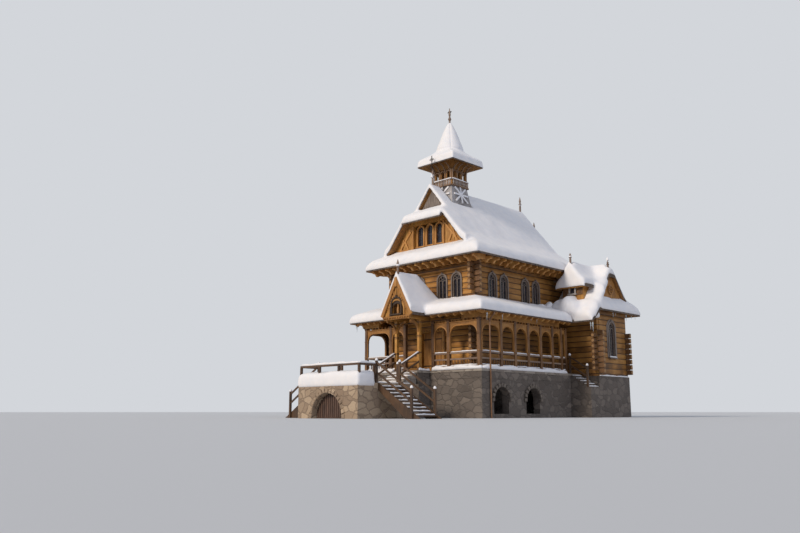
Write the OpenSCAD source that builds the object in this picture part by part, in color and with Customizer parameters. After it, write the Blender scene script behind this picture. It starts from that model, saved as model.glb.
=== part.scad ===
// Timber mountain chapel-chalet: log walls on a stone base, an arcaded porch on three sides,
// steep snow-covered roofs, a small ridge turret and a terrace with stairs.
// X is the width, Y runs from the entrance (-Y) to the back, Z is up, z = 0 is the lowest ground.

/* [Levels] */
// Height of the porch floor above the lowest ground
floor_z = 2350; // [2200:50:2600]
// Thickness of the porch and room floors
floor_t = 120; // [80:10:160]
// Height of the front log wall above the floor
front_wall_h = 6100; // [6000:50:6150]
// Height of one log course
log_h = 300; // [240:10:360]

/* [Nave] */
// Half width of the nave over its logs
nave_hw = 2950; // [2900:10:3000]
// Distance from the crossing centre plane to the front log wall
nave_front = 5000; // [4950:10:5050]
// Back face of the nave gable wall
nave_back = 3300; // [3250:10:3330]
// Thickness of the log walls
wall_t = 200; // [160:10:220]
// How far the half-round logs stand out from the wall
log_bulge = 35; // [20:5:50]
// Length of the log ends past the corners
log_end = 330; // [250:10:360]

/* [Windows] */
// Width of an arched nave window
win_w = 600; // [500:10:660]
// Distance between the two windows of a pair
win_gap = 1000; // [940:10:1060]
// Sill of the nave windows above the floor
win_sill = 3750; // [3700:10:3850]
// Height of the nave windows
win_h = 1340; // [1200:20:1440]
// Centre of the front window pairs from the middle
front_pair_x = 1300; // [1250:10:1330]
// Width of the tall window of a wing
wing_win_w = 620; // [500:10:700]
// Depth of a window frame
frame_d = 90; // [60:5:120]
// Width of a window frame's face
frame_w = 60; // [45:5:80]

/* [Entrance door] */
// Half width of the clear doorway
door_hw = 750; // [650:10:800]
// Height of the clear doorway
door_h = 2100; // [1900:10:2150]
// Thickness of a door leaf
leaf_t = 60; // [40:5:70]
// Running gap round the door leaves
leaf_gap = 8; // [6:1:12]
// Width of the door frame
jamb_w = 200; // [150:10:220]

/* [Main roof] */
// Half width of the main roof at the eaves
roof_hw = 4020; // [3950:10:4080]
// Distance of the front eave before the front log wall
roof_front_over = 1090; // [1050:10:1130]
// Drop of the eaves below the top of the front log wall
eave_drop = 385; // [340:5:420]
// Rise of the roof from the eaves to the ridge
roof_rise = 4315; // [4250:5:4400]
// Thickness of the shingled roofs
roof_t = 160; // [120:10:180]
// Depth of the settled snow
snow_t = 380; // [250:10:420]
// Height of the front gable up to the small roof across it
gable_h = 1960; // [1920:10:2000]
// Half width of the small roof across the gable
awning_hw = 1430; // [1350:10:1480]
// Width of a window in the gable
gable_win_w = 420; // [340:10:440]
// Height of a window in the gable
gable_win_h = 1100; // [950:10:1150]

/* [Porch] */
// Half width to the porch post line
post_x = 4050; // [4000:10:4080]
// Distance of the front post line before the front log wall
porch_depth = 1000; // [960:10:1040]
// Side of a porch post
post_w = 160; // [120:10:180]
// Overhang of the porch eave past the post line
porch_over = 610; // [560:10:660]
// Height of the porch eave above the floor
porch_eave_h = 2740; // [2720:10:2780]
// Rise of the porch roof up to the log walls
porch_rise = 570; // [520:10:600]
// Top of the hand rail above the porch floor
rail_h = 870; // [820:10:950]
// Side of a rail
rail_w = 80; // [60:5:90]
// Underside of the porch beams above the floor
beam_h = 2500; // [2460:10:2540]
// Depth of the open frieze between the arches and the beams
frieze_h = 150; // [120:10:170]
// Crown of the porch arches above the floor
arch_crown = 2190; // [2100:10:2200]
// Thickness of the arch boards
arch_t = 70; // [50:5:90]

/* [Stone base] */
// Thickness of the stone walls
stone_t = 400; // [300:10:450]
// Projection of the plinth past the post line
plinth_over = 250; // [220:10:280]
// Radius of the round arches in the plinth
vent_r = 600; // [450:10:640]

/* [Terrace and stairs] */
// Half width of the terrace
terrace_hw = 2100; // [1950:10:2200]
// Front face of the terrace before the crossing centre plane
terrace_front = 12200; // [12000:50:12400]
// Depth of the terrace block
terrace_len = 3900; // [3850:10:3930]
// Height of the terrace deck above the ground
deck_z = 1590; // [1560:10:1620]
// Radius of the terrace arch
terrace_arch_r = 1050; // [900:10:1080]
// Length of a flight beside the terrace, from the deck to the ground
flight_run = 2610; // [2500:10:2700]
// Clear width of a flight
flight_w = 1400; // [1300:10:1450]

/* [Wings] */
// Half width over the outer walls of the wings
wing_hw = 5460; // [5420:10:5500]
// Front wall face of a wing
wing_y0 = 2500; // [2480:10:2520]
// Back wall face of a wing
wing_y1 = 5700; // [5600:10:5750]
// Overhang of the outer eave of a wing
wing_over = 500; // [460:10:540]
// Height of the wing walls up to their gables
wing_wall_h = 4300; // [4250:10:4350]
// Ridge line of the wings
wing_ridge_y = 4100; // [4080:10:4120]
// Half depth of a wing roof
wing_roof_hd = 2800; // [2780:10:2820]
// Rise of a wing roof
wing_rise = 3160; // [3100:10:3200]

/* [Chancel] */
// Half width over the chancel walls
chancel_hw = 2600; // [2550:10:2640]
// Back face of the chancel
chancel_back = 7400; // [7200:50:7500]
// Overhang of the chancel roof
chancel_over = 500; // [450:10:550]
// Height of the chancel eaves above the floor
chancel_eave_h = 4750; // [4700:10:4800]
// Rise of the chancel roof
chancel_rise = 3900; // [3800:10:4000]

/* [Turret] */
// Centre of the turret before the crossing centre plane
turret_y = 3350; // [3300:10:3400]
// Half width of the belfry
belfry_hw = 650; // [600:10:680]
// Half width of the turret skirt at its foot
skirt_hw = 900; // [850:10:950]
// Overhang of the turret's eave
cap_over = 660; // [600:10:700]
// Height of the turret's sill above the main ridge
sill_over = 140; // [100:10:180]
// Height of the belfry from its sill to the eave
belfry_h = 1230; // [1180:10:1280]
// Rise of the turret's cap
cap_rise = 2200; // [2100:10:2300]

/* [Hidden] */

honey = "#b9771b";
bright = "#d9921f";
brown = "#8a5a12";
snow_white = "#eef0f4";
stone_grey = "#7b7069";

// Reach of the blocks that stand for everything on one side of a surface
far = 30000;
// Cutting tools pass the faces they cut by this much
slack = 10;

base_top = floor_z - floor_t;
front_top = floor_z + front_wall_h;
front_y = -nave_front;
post_y = front_y - porch_depth;
plinth_x = post_x + plinth_over;
plinth_y = post_y - plinth_over;
eave_z = front_top - eave_drop;
ridge_top = eave_z + roof_rise + roof_t;
roof_front = front_y - roof_front_over;
roof_back = nave_back + 150;
porch_eave_x = post_x + porch_over;
porch_eave_y = post_y - porch_over - 70;
porch_eave_z = floor_z + porch_eave_h;
porch_run = porch_eave_x - nave_hw;
beam_z = floor_z + beam_h;
wing_z = porch_eave_z;
wing_eave_x = wing_hw + wing_over;
chancel_top = floor_z + chancel_eave_h;
chancel_roof_hw = chancel_hw + chancel_over;
chancel_eave_y = chancel_back + chancel_over;
cap_hw = belfry_hw + cap_over;
sill_z = ridge_top + sill_over;
cap_z = sill_z + belfry_h;
// Least thickness of the logs before the wall face, in the joints between them
log_root = 4;
// Height of the half-hip's eave above the lower eave of a wing
wing_skirt_h = 690;
// Line where the porch roof turns into the lower eave of a wing
valley_y = wing_ridge_y - wing_roof_hd;
// Snow hangs over the eaves by this much, and down over this much of the shingles' edge
lip = 60;
droop = 120;
// Share of the snow's depth that stays at the ridge of a steep roof
ridge_share = 0.4;

// An outline with its points on whole millimetres
function whole(c) = [for (p = c) [round(p[0]), round(p[1])]];
// Bell-cast roof outlines: distance in from the eave and height above it
main_curve = whole([[0, 0], [roof_hw * 0.179, roof_rise * 0.105], [roof_hw * 0.353, roof_rise * 0.2355],
  [roof_hw, roof_rise]]);
porch_curve = [[0, 0], [porch_run, porch_rise]];
wing_curve = whole([[0, 0], [wing_roof_hd * 0.27, wing_rise * 0.193], [wing_roof_hd * 0.571, wing_rise * 0.514],
  [wing_roof_hd, wing_rise]]);
chancel_curve = [[0, 0], [chancel_roof_hw * 0.226, chancel_rise * 0.154], [chancel_roof_hw, chancel_rise]];
cap_curve = [[0, 0], [cap_hw * 0.527, cap_rise * 0.227], [cap_hw * 0.687, cap_rise * 0.477],
  [cap_hw * 0.811, cap_rise * 0.759], [cap_hw, cap_rise]];
// The back slope of a wing ends higher than its front slope, at the level of the half-hip's eave
wing_back_run = round(wing_roof_hd * 0.893);
wing_back_curve = whole([[0, 0], [wing_back_run * 0.52, wing_rise * 0.292],
  [wing_back_run, wing_rise - wing_skirt_h]]);

// Distance in from the lower eave at which a wing roof reaches a height
function wing_in(h) = round(lookup(h, [for (p = wing_curve) [p[1], p[0]]]));
// Lift every point of an outline
function lift(c, dz) = [for (p = c) [p[0], p[1] + dz]];
// Turn a list of points round
function back(c) = [for (i = [len(c) - 1 : -1 : 0]) c[i]];
// Band of a given thickness above an outline
function band(c, dz, t) = concat(lift(c, dz), back(lift(c, dz + t)));
// Everything below an outline, down to a depth
function below(c, dz, depth) = concat(lift(c, dz), [[c[len(c) - 1][0], -depth], [0, -depth]]);
// An outline that goes on level past its last point
function level(c) = concat(c, [[far / 4, c[len(c) - 1][1]]]);
// Surface of the snow on an outline, which thins from its depth at the eave to a share of it at the top
function settled(c, dz, t, share) =
  [for (p = c) [p[0], p[1] + dz + t * (1 - (1 - share) * p[0] / c[len(c) - 1][0])]];
// The roll of snow that hangs over an eave, from its lowest point up
function roll(dz, t) = [[0, dz - droop], [-lip, dz - droop], [-lip, dz + t * 0.35], [0, dz + t * 0.72]];
// Snow band with its roll over the eave
function snow_band(c, dz, t, share) = concat(
  lift(c, dz),
  back([for (i = [1 : len(c) - 1]) settled(c, dz, t, share)[i]]),
  [[t * 0.45, c[1][1] * t * 0.45 / c[1][0] + dz + t * 0.98]],
  back(roll(dz, t)));

// Carry a profile drawn in X and Z along Y
module along_y(y0, y1) {
  translate([0, y1, 0]) rotate([90, 0, 0]) linear_extrude(y1 - y0) children();
}

// Carry a profile drawn in Y and Z along X
module along_x(x0, x1) {
  translate([x0, 0, 0]) rotate([90, 0, 90]) linear_extrude(x1 - x0) children();
}

// A box between two corners
module block(a, b) {
  translate(a) cube(b - a);
}

// Draw the children on both sides of the middle plane
module both() {
  children();
  mirror([1, 0, 0]) children();
}

// Everything above a plan outline
module plan(points) {
  linear_extrude(far) polygon(points);
}

// A slope that rises from its eave at x = hw towards the middle plane
module slope_x(profile, hw, z, y0, y1) {
  along_y(y0, y1) polygon([for (p = profile) [hw - p[0], z + p[1]]]);
}

// A slope that rises from its eave at y = ey towards the back
module slope_front(profile, ey, z, x0, x1) {
  along_x(x0, x1) polygon([for (p = profile) [ey + p[0], z + p[1]]]);
}

// A slope that rises from its eave at y = ey towards the front
module slope_back(profile, ey, z, x0, x1) {
  along_x(x0, x1) polygon([for (p = profile) [ey - p[0], z + p[1]]]);
}

// An upright opening with a round head, through a wall that faces Y
module arch_y(x, z0, w, h, y0, y1) {
  block([x - w / 2, y0, z0], [x + w / 2, y1, z0 + h - w / 2]);
  translate([x, y1, z0 + h - w / 2]) rotate([90, 0, 0]) cylinder(r = w / 2, h = y1 - y0, $fn = 48);
}

// An upright opening with a round head, through a wall that faces X
module arch_x(y, z0, w, h, x0, x1) {
  block([x0, y - w / 2, z0], [x1, y + w / 2, z0 + h - w / 2]);
  translate([x0, y, z0 + h - w / 2]) rotate([0, 90, 0]) cylinder(r = w / 2, h = x1 - x0, $fn = 48);
}

// Under the main roof, raised by dz and by a depth of snow
module under_main(dz, y0, snow = 0) {
  curve = settled(main_curve, 0, snow, ridge_share);
  both() slope_x(below(curve, dz, eave_z), roof_hw, eave_z, y0, roof_back);
}

// Under the porch roof
module under_porch() {
  intersection() {
    both() slope_x(below(porch_curve, 0, porch_eave_z), porch_eave_x, porch_eave_z, porch_eave_y, far / 2);
    slope_front(below(level(porch_curve), 0, porch_eave_z), porch_eave_y, porch_eave_z, -far / 4, far / 4);
  }
}

// Half-round logs seen from their ends: they stand out from a wall face along the first axis
module log_section(h) {
  n = floor(h / log_h);
  r = (log_h * log_h / 4 + log_bulge * log_bulge) / (2 * log_bulge);
  intersection() {
    union() for (i = [0 : n - 1]) translate([log_bulge - r, (i + 0.5) * log_h]) circle(r = r, $fn = 96);
    square([log_bulge, n * log_h]);
  }
  square([log_root, n * log_h]);
}

// Logs on a wall face that looks along X
module logs_x(face, y0, y1, z0, z1) {
  along_y(y0, y1) translate([face, z0]) log_section(z1 - z0);
}

// Logs on a wall face that looks to the front
module logs_front(face, x0, x1, z0, z1) {
  along_x(x0, x1) translate([face, z0]) mirror([1, 0]) log_section(z1 - z0);
}

// Logs on a wall face that looks to the back
module logs_back(face, x0, x1, z0, z1) {
  along_x(x0, x1) translate([face, z0]) log_section(z1 - z0);
}

// Stone base

// The stone walls stand out from the log walls by this much
base_over = 50;

module foundation() {
  b = base_over;
  color(stone_grey) difference() {
    union() {
      block([-nave_hw, front_y, 0], [nave_hw, nave_back, base_top]);
      block([-wing_hw - b, wing_y0 - b, 0], [wing_hw + b, wing_y1 + b, base_top]);
      block([-chancel_hw - b, nave_back, 0], [chancel_hw + b, chancel_back + b, base_top]);
    }
    block([-nave_hw + stone_t, front_y + stone_t, -1], [nave_hw - stone_t, nave_back, base_top + 1]);
    block([-wing_hw - b + stone_t, wing_y0 - b + stone_t, -1],
      [wing_hw + b - stone_t, wing_y1 + b - stone_t, base_top + 1]);
    block([-chancel_hw - b + stone_t, nave_back, -1],
      [chancel_hw + b - stone_t, chancel_back + b - stone_t, base_top + 1]);
  }
  color(stone_grey) block([stone_t - nave_hw, -stone_t / 2, 0], [nave_hw - stone_t, stone_t / 2, base_top]);
}

vent_y = [-4750, -2100];
vent_z = 200;
vent_h = vent_r + 690;
landing_hw = door_hw + jamb_w;
landing_front = post_y - 1050;
coping = 40;
// Height of the dressed course under the porch floor
course_h = 330;

module porch_plinth() {
  c = coping / 2;
  color(stone_grey) difference() {
    union() {
      block([-plinth_x, plinth_y, 0], [plinth_x, plinth_y + stone_t, base_top]);
      both() block([plinth_x - stone_t, plinth_y, 0], [plinth_x, wing_y0 - base_over, base_top]);
      block([-landing_hw, landing_front, 0], [landing_hw, plinth_y, base_top]);
      block([-plinth_x - c, plinth_y - c, base_top - course_h],
        [plinth_x + c, plinth_y + stone_t, base_top]);
      both() block([plinth_x - stone_t, plinth_y - c, base_top - course_h],
        [plinth_x + c, wing_y0 - base_over, base_top]);
    }
    both() for (y = vent_y)
      arch_x(y, vent_z, 2 * vent_r, vent_h, plinth_x - stone_t - slack, plinth_x + slack);
  }
}

module porch_floor() {
  inner = log_bulge;
  color(stone_grey) difference() {
    union() {
      block([-plinth_x - coping, plinth_y - coping, base_top],
        [plinth_x + coping, wing_y0 - base_over, floor_z]);
      block([-landing_hw - coping, landing_front - coping, base_top],
        [landing_hw + coping, plinth_y, floor_z]);
    }
    block([-nave_hw - inner, front_y - inner, base_top - 1], [nave_hw + inner, wing_y0, floor_z + 1]);
  }
}

module room_floor() {
  t = wall_t;
  color(brown) {
    block([-nave_hw + t, front_y + t, base_top], [nave_hw - t, wing_y1 - t, floor_z]);
    both() block([nave_hw, wing_y0 + t, base_top], [wing_hw - t, wing_y1 - t, floor_z]);
    both() block([nave_hw - t, nave_back, base_top], [nave_hw, wing_y1 - t, floor_z]);
    block([-chancel_hw + t, wing_y1 - t, base_top], [chancel_hw - t, chancel_back - t, floor_z]);
  }
}

// Log walls

portal_hw = door_hw + jamb_w;
portal_h = door_h + jamb_w;
split_z = floor_z + portal_h;

module front_wall_right() {
  color(honey) {
    block([portal_hw, front_y, base_top], [nave_hw - wall_t, front_y + wall_t, split_z]);
    logs_front(front_y, portal_hw, nave_hw - wall_t, floor_z, split_z);
  }
}

module front_wall_left() {
  mirror([1, 0, 0]) front_wall_right();
}

module front_windows(grow, y0, y1) {
  for (side = [-1, 1], s = [-0.5, 0.5])
    arch_y(side * front_pair_x + s * win_gap, floor_z + win_sill - grow, win_w + 2 * grow, win_h + 2 * grow,
      y0, y1);
}

module front_wall_upper() {
  color(honey) difference() {
    union() {
      block([-nave_hw + wall_t, front_y, split_z], [nave_hw - wall_t, front_y + wall_t, front_top]);
      logs_front(front_y, -nave_hw + wall_t, nave_hw - wall_t, split_z, front_top);
    }
    front_windows(0, front_y - 2 * log_bulge, front_y + wall_t + slack);
  }
}

side_pair_y = [-3080, -160];

module side_windows(grow, x0, x1) {
  for (y = side_pair_y, s = [-0.5, 0.5])
    arch_x(y + s * win_gap, floor_z + win_sill - grow, win_w + 2 * grow, win_h + 2 * grow, x0, x1);
}

module nave_wall_right() {
  color(honey) difference() {
    intersection() {
      union() {
        block([nave_hw - wall_t, front_y, base_top], [nave_hw, nave_back, far / 2]);
        logs_x(nave_hw, front_y + wall_t, wing_y0, floor_z, front_top);
      }
      under_main(0, front_y - slack);
    }
    side_windows(0, nave_hw - wall_t - slack, nave_hw + 2 * log_bulge);
  }
}

module nave_wall_left() {
  mirror([1, 0, 0]) nave_wall_right();
}

crossing_hw = 2000;
crossing_h = 4200;

module nave_back_wall() {
  color(honey) difference() {
    intersection() {
      block([-nave_hw + wall_t, nave_back - wall_t, floor_z], [nave_hw - wall_t, nave_back, far / 2]);
      under_main(0, front_y);
    }
    arch_y(0, floor_z - 1, 2 * crossing_hw, crossing_h, nave_back - wall_t - slack, nave_back + slack);
  }
}

wing_skirt_rise = 500;
wing_skirt = [[0, 0], [wing_over, wing_skirt_rise]];
wing_verge_x = wing_hw + 220;
wing_hip_h = wing_rise - 400;
wing_hip = [[0, 0], [450, 400], [far / 8, 400]];
wing_hip_y0 = valley_y + wing_in(wing_skirt_h);
wing_verge_y = valley_y + wing_in(wing_skirt_h + wing_skirt_rise + roof_t + 40);
// Back eave of a wing, and where its back slope reaches a height
wing_back_y = wing_ridge_y + wing_back_run;
function wing_back_at(h) = wing_back_y - round(lookup(h - wing_skirt_h, [for (p = wing_back_curve) [p[1], p[0]]]));
wing_verge_back = wing_back_at(wing_skirt_h + wing_skirt_rise + roof_t + 40);

// Below the two slopes of a wing, raised by dz
module under_slopes(dz) {
  intersection() {
    slope_front(below(level(wing_curve), dz, wing_z), valley_y, wing_z, 0, far / 4);
    slope_back(below(level(wing_back_curve), dz, wing_z + wing_skirt_h), wing_back_y, wing_z + wing_skirt_h,
      0, far / 4);
  }
}

// Below the two slopes and the half-hip of a wing
module under_wing(dz) {
  intersection() {
    under_slopes(dz);
    slope_x(below(wing_hip, dz, wing_z + wing_hip_h), wing_verge_x, wing_z + wing_hip_h, 0, far / 4);
  }
}

wing_win_y = wing_ridge_y - 110;
wing_win_sill = 950;
wing_win_h = 1950;

module wing_window(grow, x0, x1) {
  arch_x(wing_win_y, floor_z + wing_win_sill - grow, wing_win_w + 2 * grow, wing_win_h + 2 * grow, x0, x1);
}

module wing_walls_right() {
  top = floor_z + wing_wall_h;
  t = wall_t;
  color(honey) difference() {
    intersection() {
      union() {
        block([nave_hw, wing_y0, base_top], [wing_hw, wing_y0 + t, top]);
        block([chancel_hw, wing_y1 - t, base_top], [wing_hw, wing_y1, top]);
        block([wing_hw - t, wing_y0, base_top], [wing_hw, wing_y1, top]);
        logs_x(wing_hw, wing_y0 + t, wing_y1 - t, floor_z, wing_z + wing_skirt_h + wing_skirt_rise - roof_t);
        logs_front(wing_y0, nave_hw + log_bulge, wing_hw - t, floor_z, top);
        logs_back(wing_y1, chancel_hw + log_bulge, wing_hw - t, floor_z, top);
      }
      under_wing(0);
    }
    wing_window(0, wing_hw - t - slack, wing_hw + 2 * log_bulge);
  }
}

module wing_walls_left() {
  mirror([1, 0, 0]) wing_walls_right();
}

module wing_gables() {
  color(honey) both() intersection() {
    block([wing_hw - wall_t + 20, wing_y0, floor_z + wing_wall_h], [wing_hw, wing_y1, far / 2]);
    under_wing(0);
  }
}

// Below the shingles of the chancel
module under_chancel(dz) {
  intersection() {
    both()
      slope_x(below(chancel_curve, dz, chancel_top), chancel_roof_hw, chancel_top, nave_back, chancel_eave_y);
    slope_back(below(level(chancel_curve), dz, chancel_top), chancel_eave_y, chancel_top, -far / 4, far / 4);
  }
}

chancel_win_x = 900;
chancel_win_y = (wing_y1 + chancel_back) / 2;
chancel_win_sill = 1950;

module chancel_windows(grow, out) {
  w = win_w + 2 * grow;
  h = win_h + 2 * grow;
  z = floor_z + chancel_win_sill - grow;
  both() {
    arch_y(chancel_win_x, z, w, h, chancel_back - out[1], chancel_back - out[0]);
    arch_x(chancel_win_y, z, w, h, chancel_hw - out[1], chancel_hw - out[0]);
  }
}

module chancel_walls() {
  t = wall_t;
  top = far / 2;
  color(honey) difference() {
    intersection() {
      union() {
        both() block([chancel_hw - t, wing_y1 - t, base_top], [chancel_hw, chancel_back, top]);
        block([t - chancel_hw, chancel_back - t, base_top], [chancel_hw - t, chancel_back, top]);
        both() block([chancel_hw - t, nave_back, floor_z + wing_wall_h], [chancel_hw, wing_y1, top]);
        both() logs_x(chancel_hw, wing_y1 + log_bulge, chancel_back - t, floor_z, chancel_top + log_h);
        logs_back(chancel_back, t - chancel_hw, chancel_hw - t, floor_z, chancel_top + log_h);
      }
      under_chancel(0);
    }
    chancel_windows(0, [-2 * log_bulge, t + slack]);
  }
}

// One log end with rounded edges
module log_stub(len, w) {
  linear_extrude(len) intersection() {
    square([w, log_h * 0.86], center = true);
    circle(r = log_h * 0.47, $fn = 48);
  }
}

// The log ends of one corner, alternately along X and along Y
module log_corner(x, y, n) {
  w = wall_t * 0.9;
  for (i = [0 : n - 1]) {
    translate([x, y + wall_t / 2, floor_z + (i + 0.5) * log_h]) rotate([90, 0, 90]) log_stub(log_end, w);
    if (i < n - 1)
      translate([x - wall_t / 2, y, floor_z + (i + 1) * log_h]) rotate([90, 0, 0]) log_stub(log_end, w);
  }
}

// The same towards the back
module log_corner_back(x, y, n) {
  w = wall_t * 0.9;
  for (i = [0 : n - 1]) {
    translate([x, y - wall_t / 2, floor_z + (i + 0.5) * log_h]) rotate([90, 0, 90]) log_stub(log_end, w);
    if (i < n - 1)
      translate([x - wall_t / 2, y + log_end, floor_z + (i + 1) * log_h]) rotate([90, 0, 0])
        log_stub(log_end, w);
  }
}

// Courses below the porch roof, and from the snow on it up to the eaves
low_courses = floor((porch_eave_h - 100) / log_h);
snow_courses = ceil((porch_eave_h + porch_rise + roof_t + snow_t + 20) / log_h);
high_courses = 6;
wing_courses = floor(2500 / log_h);

module corner_logs() {
  color(bright) both() {
    log_corner(nave_hw, front_y, low_courses);
    translate([0, 0, log_h * snow_courses]) log_corner(nave_hw, front_y, high_courses);
    log_corner(wing_hw, wing_y0, wing_courses);
    log_corner_back(wing_hw, wing_y1, wing_courses);
    log_corner_back(chancel_hw, chancel_back, floor((chancel_eave_h - 400) / log_h));
  }
}

// Entrance door

hinge_z = [floor_z + 300, floor_z + door_h - 400];
hinge_x = door_hw - leaf_gap;
hinge_y = front_y + wall_t + 30;
pin_r = 11;
ring_r = 24;
ring_h = 70;
pin_play = 0.4;
plate_t = 15;
plate_w = 50;
strap_len = 450;
strap_t = 10;
frame_out = 60;

module door_frame() {
  color(bright) {
    both() block([door_hw, front_y - frame_out, floor_z], [portal_hw, front_y + wall_t, floor_z + portal_h]);
    block([-door_hw, front_y - frame_out, floor_z + door_h], [door_hw, front_y + wall_t, floor_z + portal_h]);
    block([-portal_hw, front_y - log_bulge, base_top], [portal_hw, front_y + wall_t, floor_z]);
    both() for (z = hinge_z) pintle(z);
  }
}

// A wrought pintle on the inner face of the door frame
module pintle(z) {
  plate_x = hinge_x + 60;
  translate([hinge_x, hinge_y, z - 20]) cylinder(r = pin_r, h = ring_h + 30, $fn = 32);
  block([hinge_x - plate_t, hinge_y - plate_t, z - 40], [plate_x + plate_w, hinge_y + plate_t, z - 10]);
  block([plate_x, front_y + wall_t, z - 80], [plate_x + plate_w, hinge_y - plate_t, z + 30]);
}

module door_leaf_right() {
  y1 = front_y + wall_t;
  color(bright) {
    block([leaf_gap, y1 - leaf_t, floor_z + leaf_gap], [hinge_x, y1, floor_z + door_h - leaf_gap]);
    for (z = hinge_z) difference() {
      union() {
        translate([hinge_x, hinge_y, z]) cylinder(r = ring_r, h = ring_h, $fn = 48);
        block([hinge_x - strap_len, y1, z], [hinge_x - 12, y1 + strap_t, z + ring_h]);
        block([hinge_x - 35, y1, z], [hinge_x - 10, hinge_y, z + ring_h]);
      }
      translate([hinge_x, hinge_y, z - 1]) cylinder(r = pin_r + pin_play, h = ring_h + 2, $fn = 48);
    }
  }
}

module door_leaf_left() {
  mirror([1, 0, 0]) door_leaf_right();
}

// Windows

// Set-back of a frame and of its glass from the wall face
frame_back = 20;
glass_back = 70;
glass_t = 12;

module window_frames() {
  f0 = frame_back;
  f1 = frame_back + frame_d;
  t = wall_t;
  color(bright) {
    difference() {
      front_windows(0, front_y + f0, front_y + f1);
      front_windows(-frame_w, front_y, front_y + t);
    }
    both() difference() {
      side_windows(0, nave_hw - f1, nave_hw - f0);
      side_windows(-frame_w, nave_hw - t, nave_hw);
    }
    both() difference() {
      wing_window(0, wing_hw - f1, wing_hw - f0);
      wing_window(-frame_w, wing_hw - t, wing_hw);
    }
    difference() {
      chancel_windows(0, [f0, f1]);
      chancel_windows(-frame_w, [0, t]);
    }
  }
}

module window_glass() {
  g0 = glass_back;
  g1 = glass_back + glass_t;
  color("#4a4a55") {
    front_windows(-frame_w, front_y + g0, front_y + g1);
    both() side_windows(-frame_w, nave_hw - g1, nave_hw - g0);
    both() wing_window(-frame_w, wing_hw - g1, wing_hw - g0);
    chancel_windows(-frame_w, [g0, g1]);
    gable_windows(gable_win_w, gable_win_h, recess_y + 40, recess_y + 40 + glass_t);
  }
}

// Porch

front_posts = [landing_hw + 50, (landing_hw + 50 + post_x - 50) * 0.41, post_x - 50];
side_posts = [-4400, -3230, -2090, -960, 130, 1000, 1450];

module porch_posts() {
  h = post_w / 2;
  color(honey) both() {
    for (x = front_posts) block([x - h, post_y - h, floor_z], [x + h, post_y + h, beam_z]);
    for (y = side_posts) block([post_x - h, y - h, floor_z], [post_x + h, y + h, beam_z]);
  }
}

module porch_beams() {
  h = post_w / 2;
  color(honey) intersection() {
    union() {
      block([-post_x - h, post_y - h, beam_z], [post_x + h, post_y + h, far / 2]);
      both() block([post_x - h, post_y + h, beam_z], [post_x + h, wing_y0 - 300, far / 2]);
    }
    under_porch();
    under_wing_both();
  }
}

// Below the porch shingles, and below the wing shingles where they come down
module under_wing_both() {
  both() under_wing(0);
  block([-far / 4, -far / 4, 0], [far / 4, valley_y, far / 2]);
  block([-nave_hw, -far / 4, 0], [nave_hw, far / 4, far / 2]);
}

// A board with a wide round-cornered arch cut out, between two posts
module arch_board(w) {
  r = min(w / 2, 480);
  top = beam_h - frieze_h;
  difference() {
    translate([-w / 2, arch_crown - r]) square([w, top - arch_crown + r]);
    translate([-w / 2, arch_crown - r - 1]) square([w, 1.01]);
    translate([-w / 2 + r, arch_crown - 2 * r]) square([w - 2 * r + 0.01, 2 * r]);
    translate([-w / 2 + r, arch_crown - r]) circle(r = r, $fn = 64);
    translate([w / 2 - r, arch_crown - r]) circle(r = r, $fn = 64);
  }
}

// The bays between posts: middle and clear width
function mids(a) = [for (i = [0 : len(a) - 2]) [(a[i] + a[i + 1]) / 2, abs(a[i + 1] - a[i]) - post_w]];
front_bays = mids(front_posts);
side_bays = mids(concat([post_y], side_posts));

module porch_arches() {
  color(bright) both() {
    for (b = front_bays)
      translate([b[0], post_y + arch_t / 2, floor_z]) rotate([90, 0, 0]) linear_extrude(arch_t)
        arch_board(b[1]);
    for (b = side_bays)
      translate([post_x - arch_t / 2, b[0], floor_z]) rotate([90, 0, 90]) linear_extrude(arch_t)
        arch_board(b[1]);
  }
}

// Tops of the hand rail, the middle rail and the foot rail above the porch floor
rail_tops = [rail_h, 560, 200];

module porch_rails() {
  w = rail_w / 2;
  color(honey) both() for (z = rail_tops) {
    for (b = front_bays)
      block([b[0] - b[1] / 2, post_y - w, floor_z + z - rail_w], [b[0] + b[1] / 2, post_y + w, floor_z + z]);
    for (b = side_bays)
      block([post_x - w, b[0] - b[1] / 2, floor_z + z - rail_w], [post_x + w, b[0] + b[1] / 2, floor_z + z]);
  }
}

// The valley between the porch roof and the front slope of a wing
valley_in = [nave_hw, valley_y + wing_in(porch_rise)];
function valley_out(e) = [porch_eave_x + e, valley_y - e * wing_in(porch_rise) / porch_run];
// Plan outlines of the porch roof
function porch_side_plan(e) = [[porch_eave_x + e, porch_eave_y - e], valley_out(e), valley_in,
  [nave_hw, porch_eave_y + porch_run]];
function porch_front_plan(e) = [[0, porch_eave_y - e], [porch_eave_x + e, porch_eave_y - e],
  [nave_hw, porch_eave_y + porch_run], [0, porch_eave_y + porch_run]];

// One layer of the porch roof
module porch_layer(profile, e) {
  both() difference() {
    union() {
      intersection() {
        slope_x(profile, porch_eave_x, porch_eave_z, porch_eave_y - e, wing_y0);
        plan(porch_side_plan(e));
      }
      intersection() {
        slope_front(profile, porch_eave_y, porch_eave_z, 0, porch_eave_x + e);
        plan(porch_front_plan(e));
      }
    }
    walls_cut();
    entrance_cut();
  }
}

// The space of the nave's log walls and bulging logs
module walls_cut() {
  block([-nave_hw - log_bulge, front_y - log_bulge, 0], [nave_hw + log_bulge, wing_y0, far / 2]);
}

module porch_roof() {
  color(brown) porch_layer(band(porch_curve, 0, roof_t), 0);
}

module porch_snow() {
  color(snow_white) {
    porch_layer(snow_band(porch_curve, roof_t, snow_t, 1), lip);
    difference() {
      under_entrance(roof_t + snow_t * 0.8, lip);
      under_entrance(roof_t, 2 * lip);
      porch_roof();
      finial_hole(finials[2]);
    }
  }
}

// Entrance gable

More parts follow.
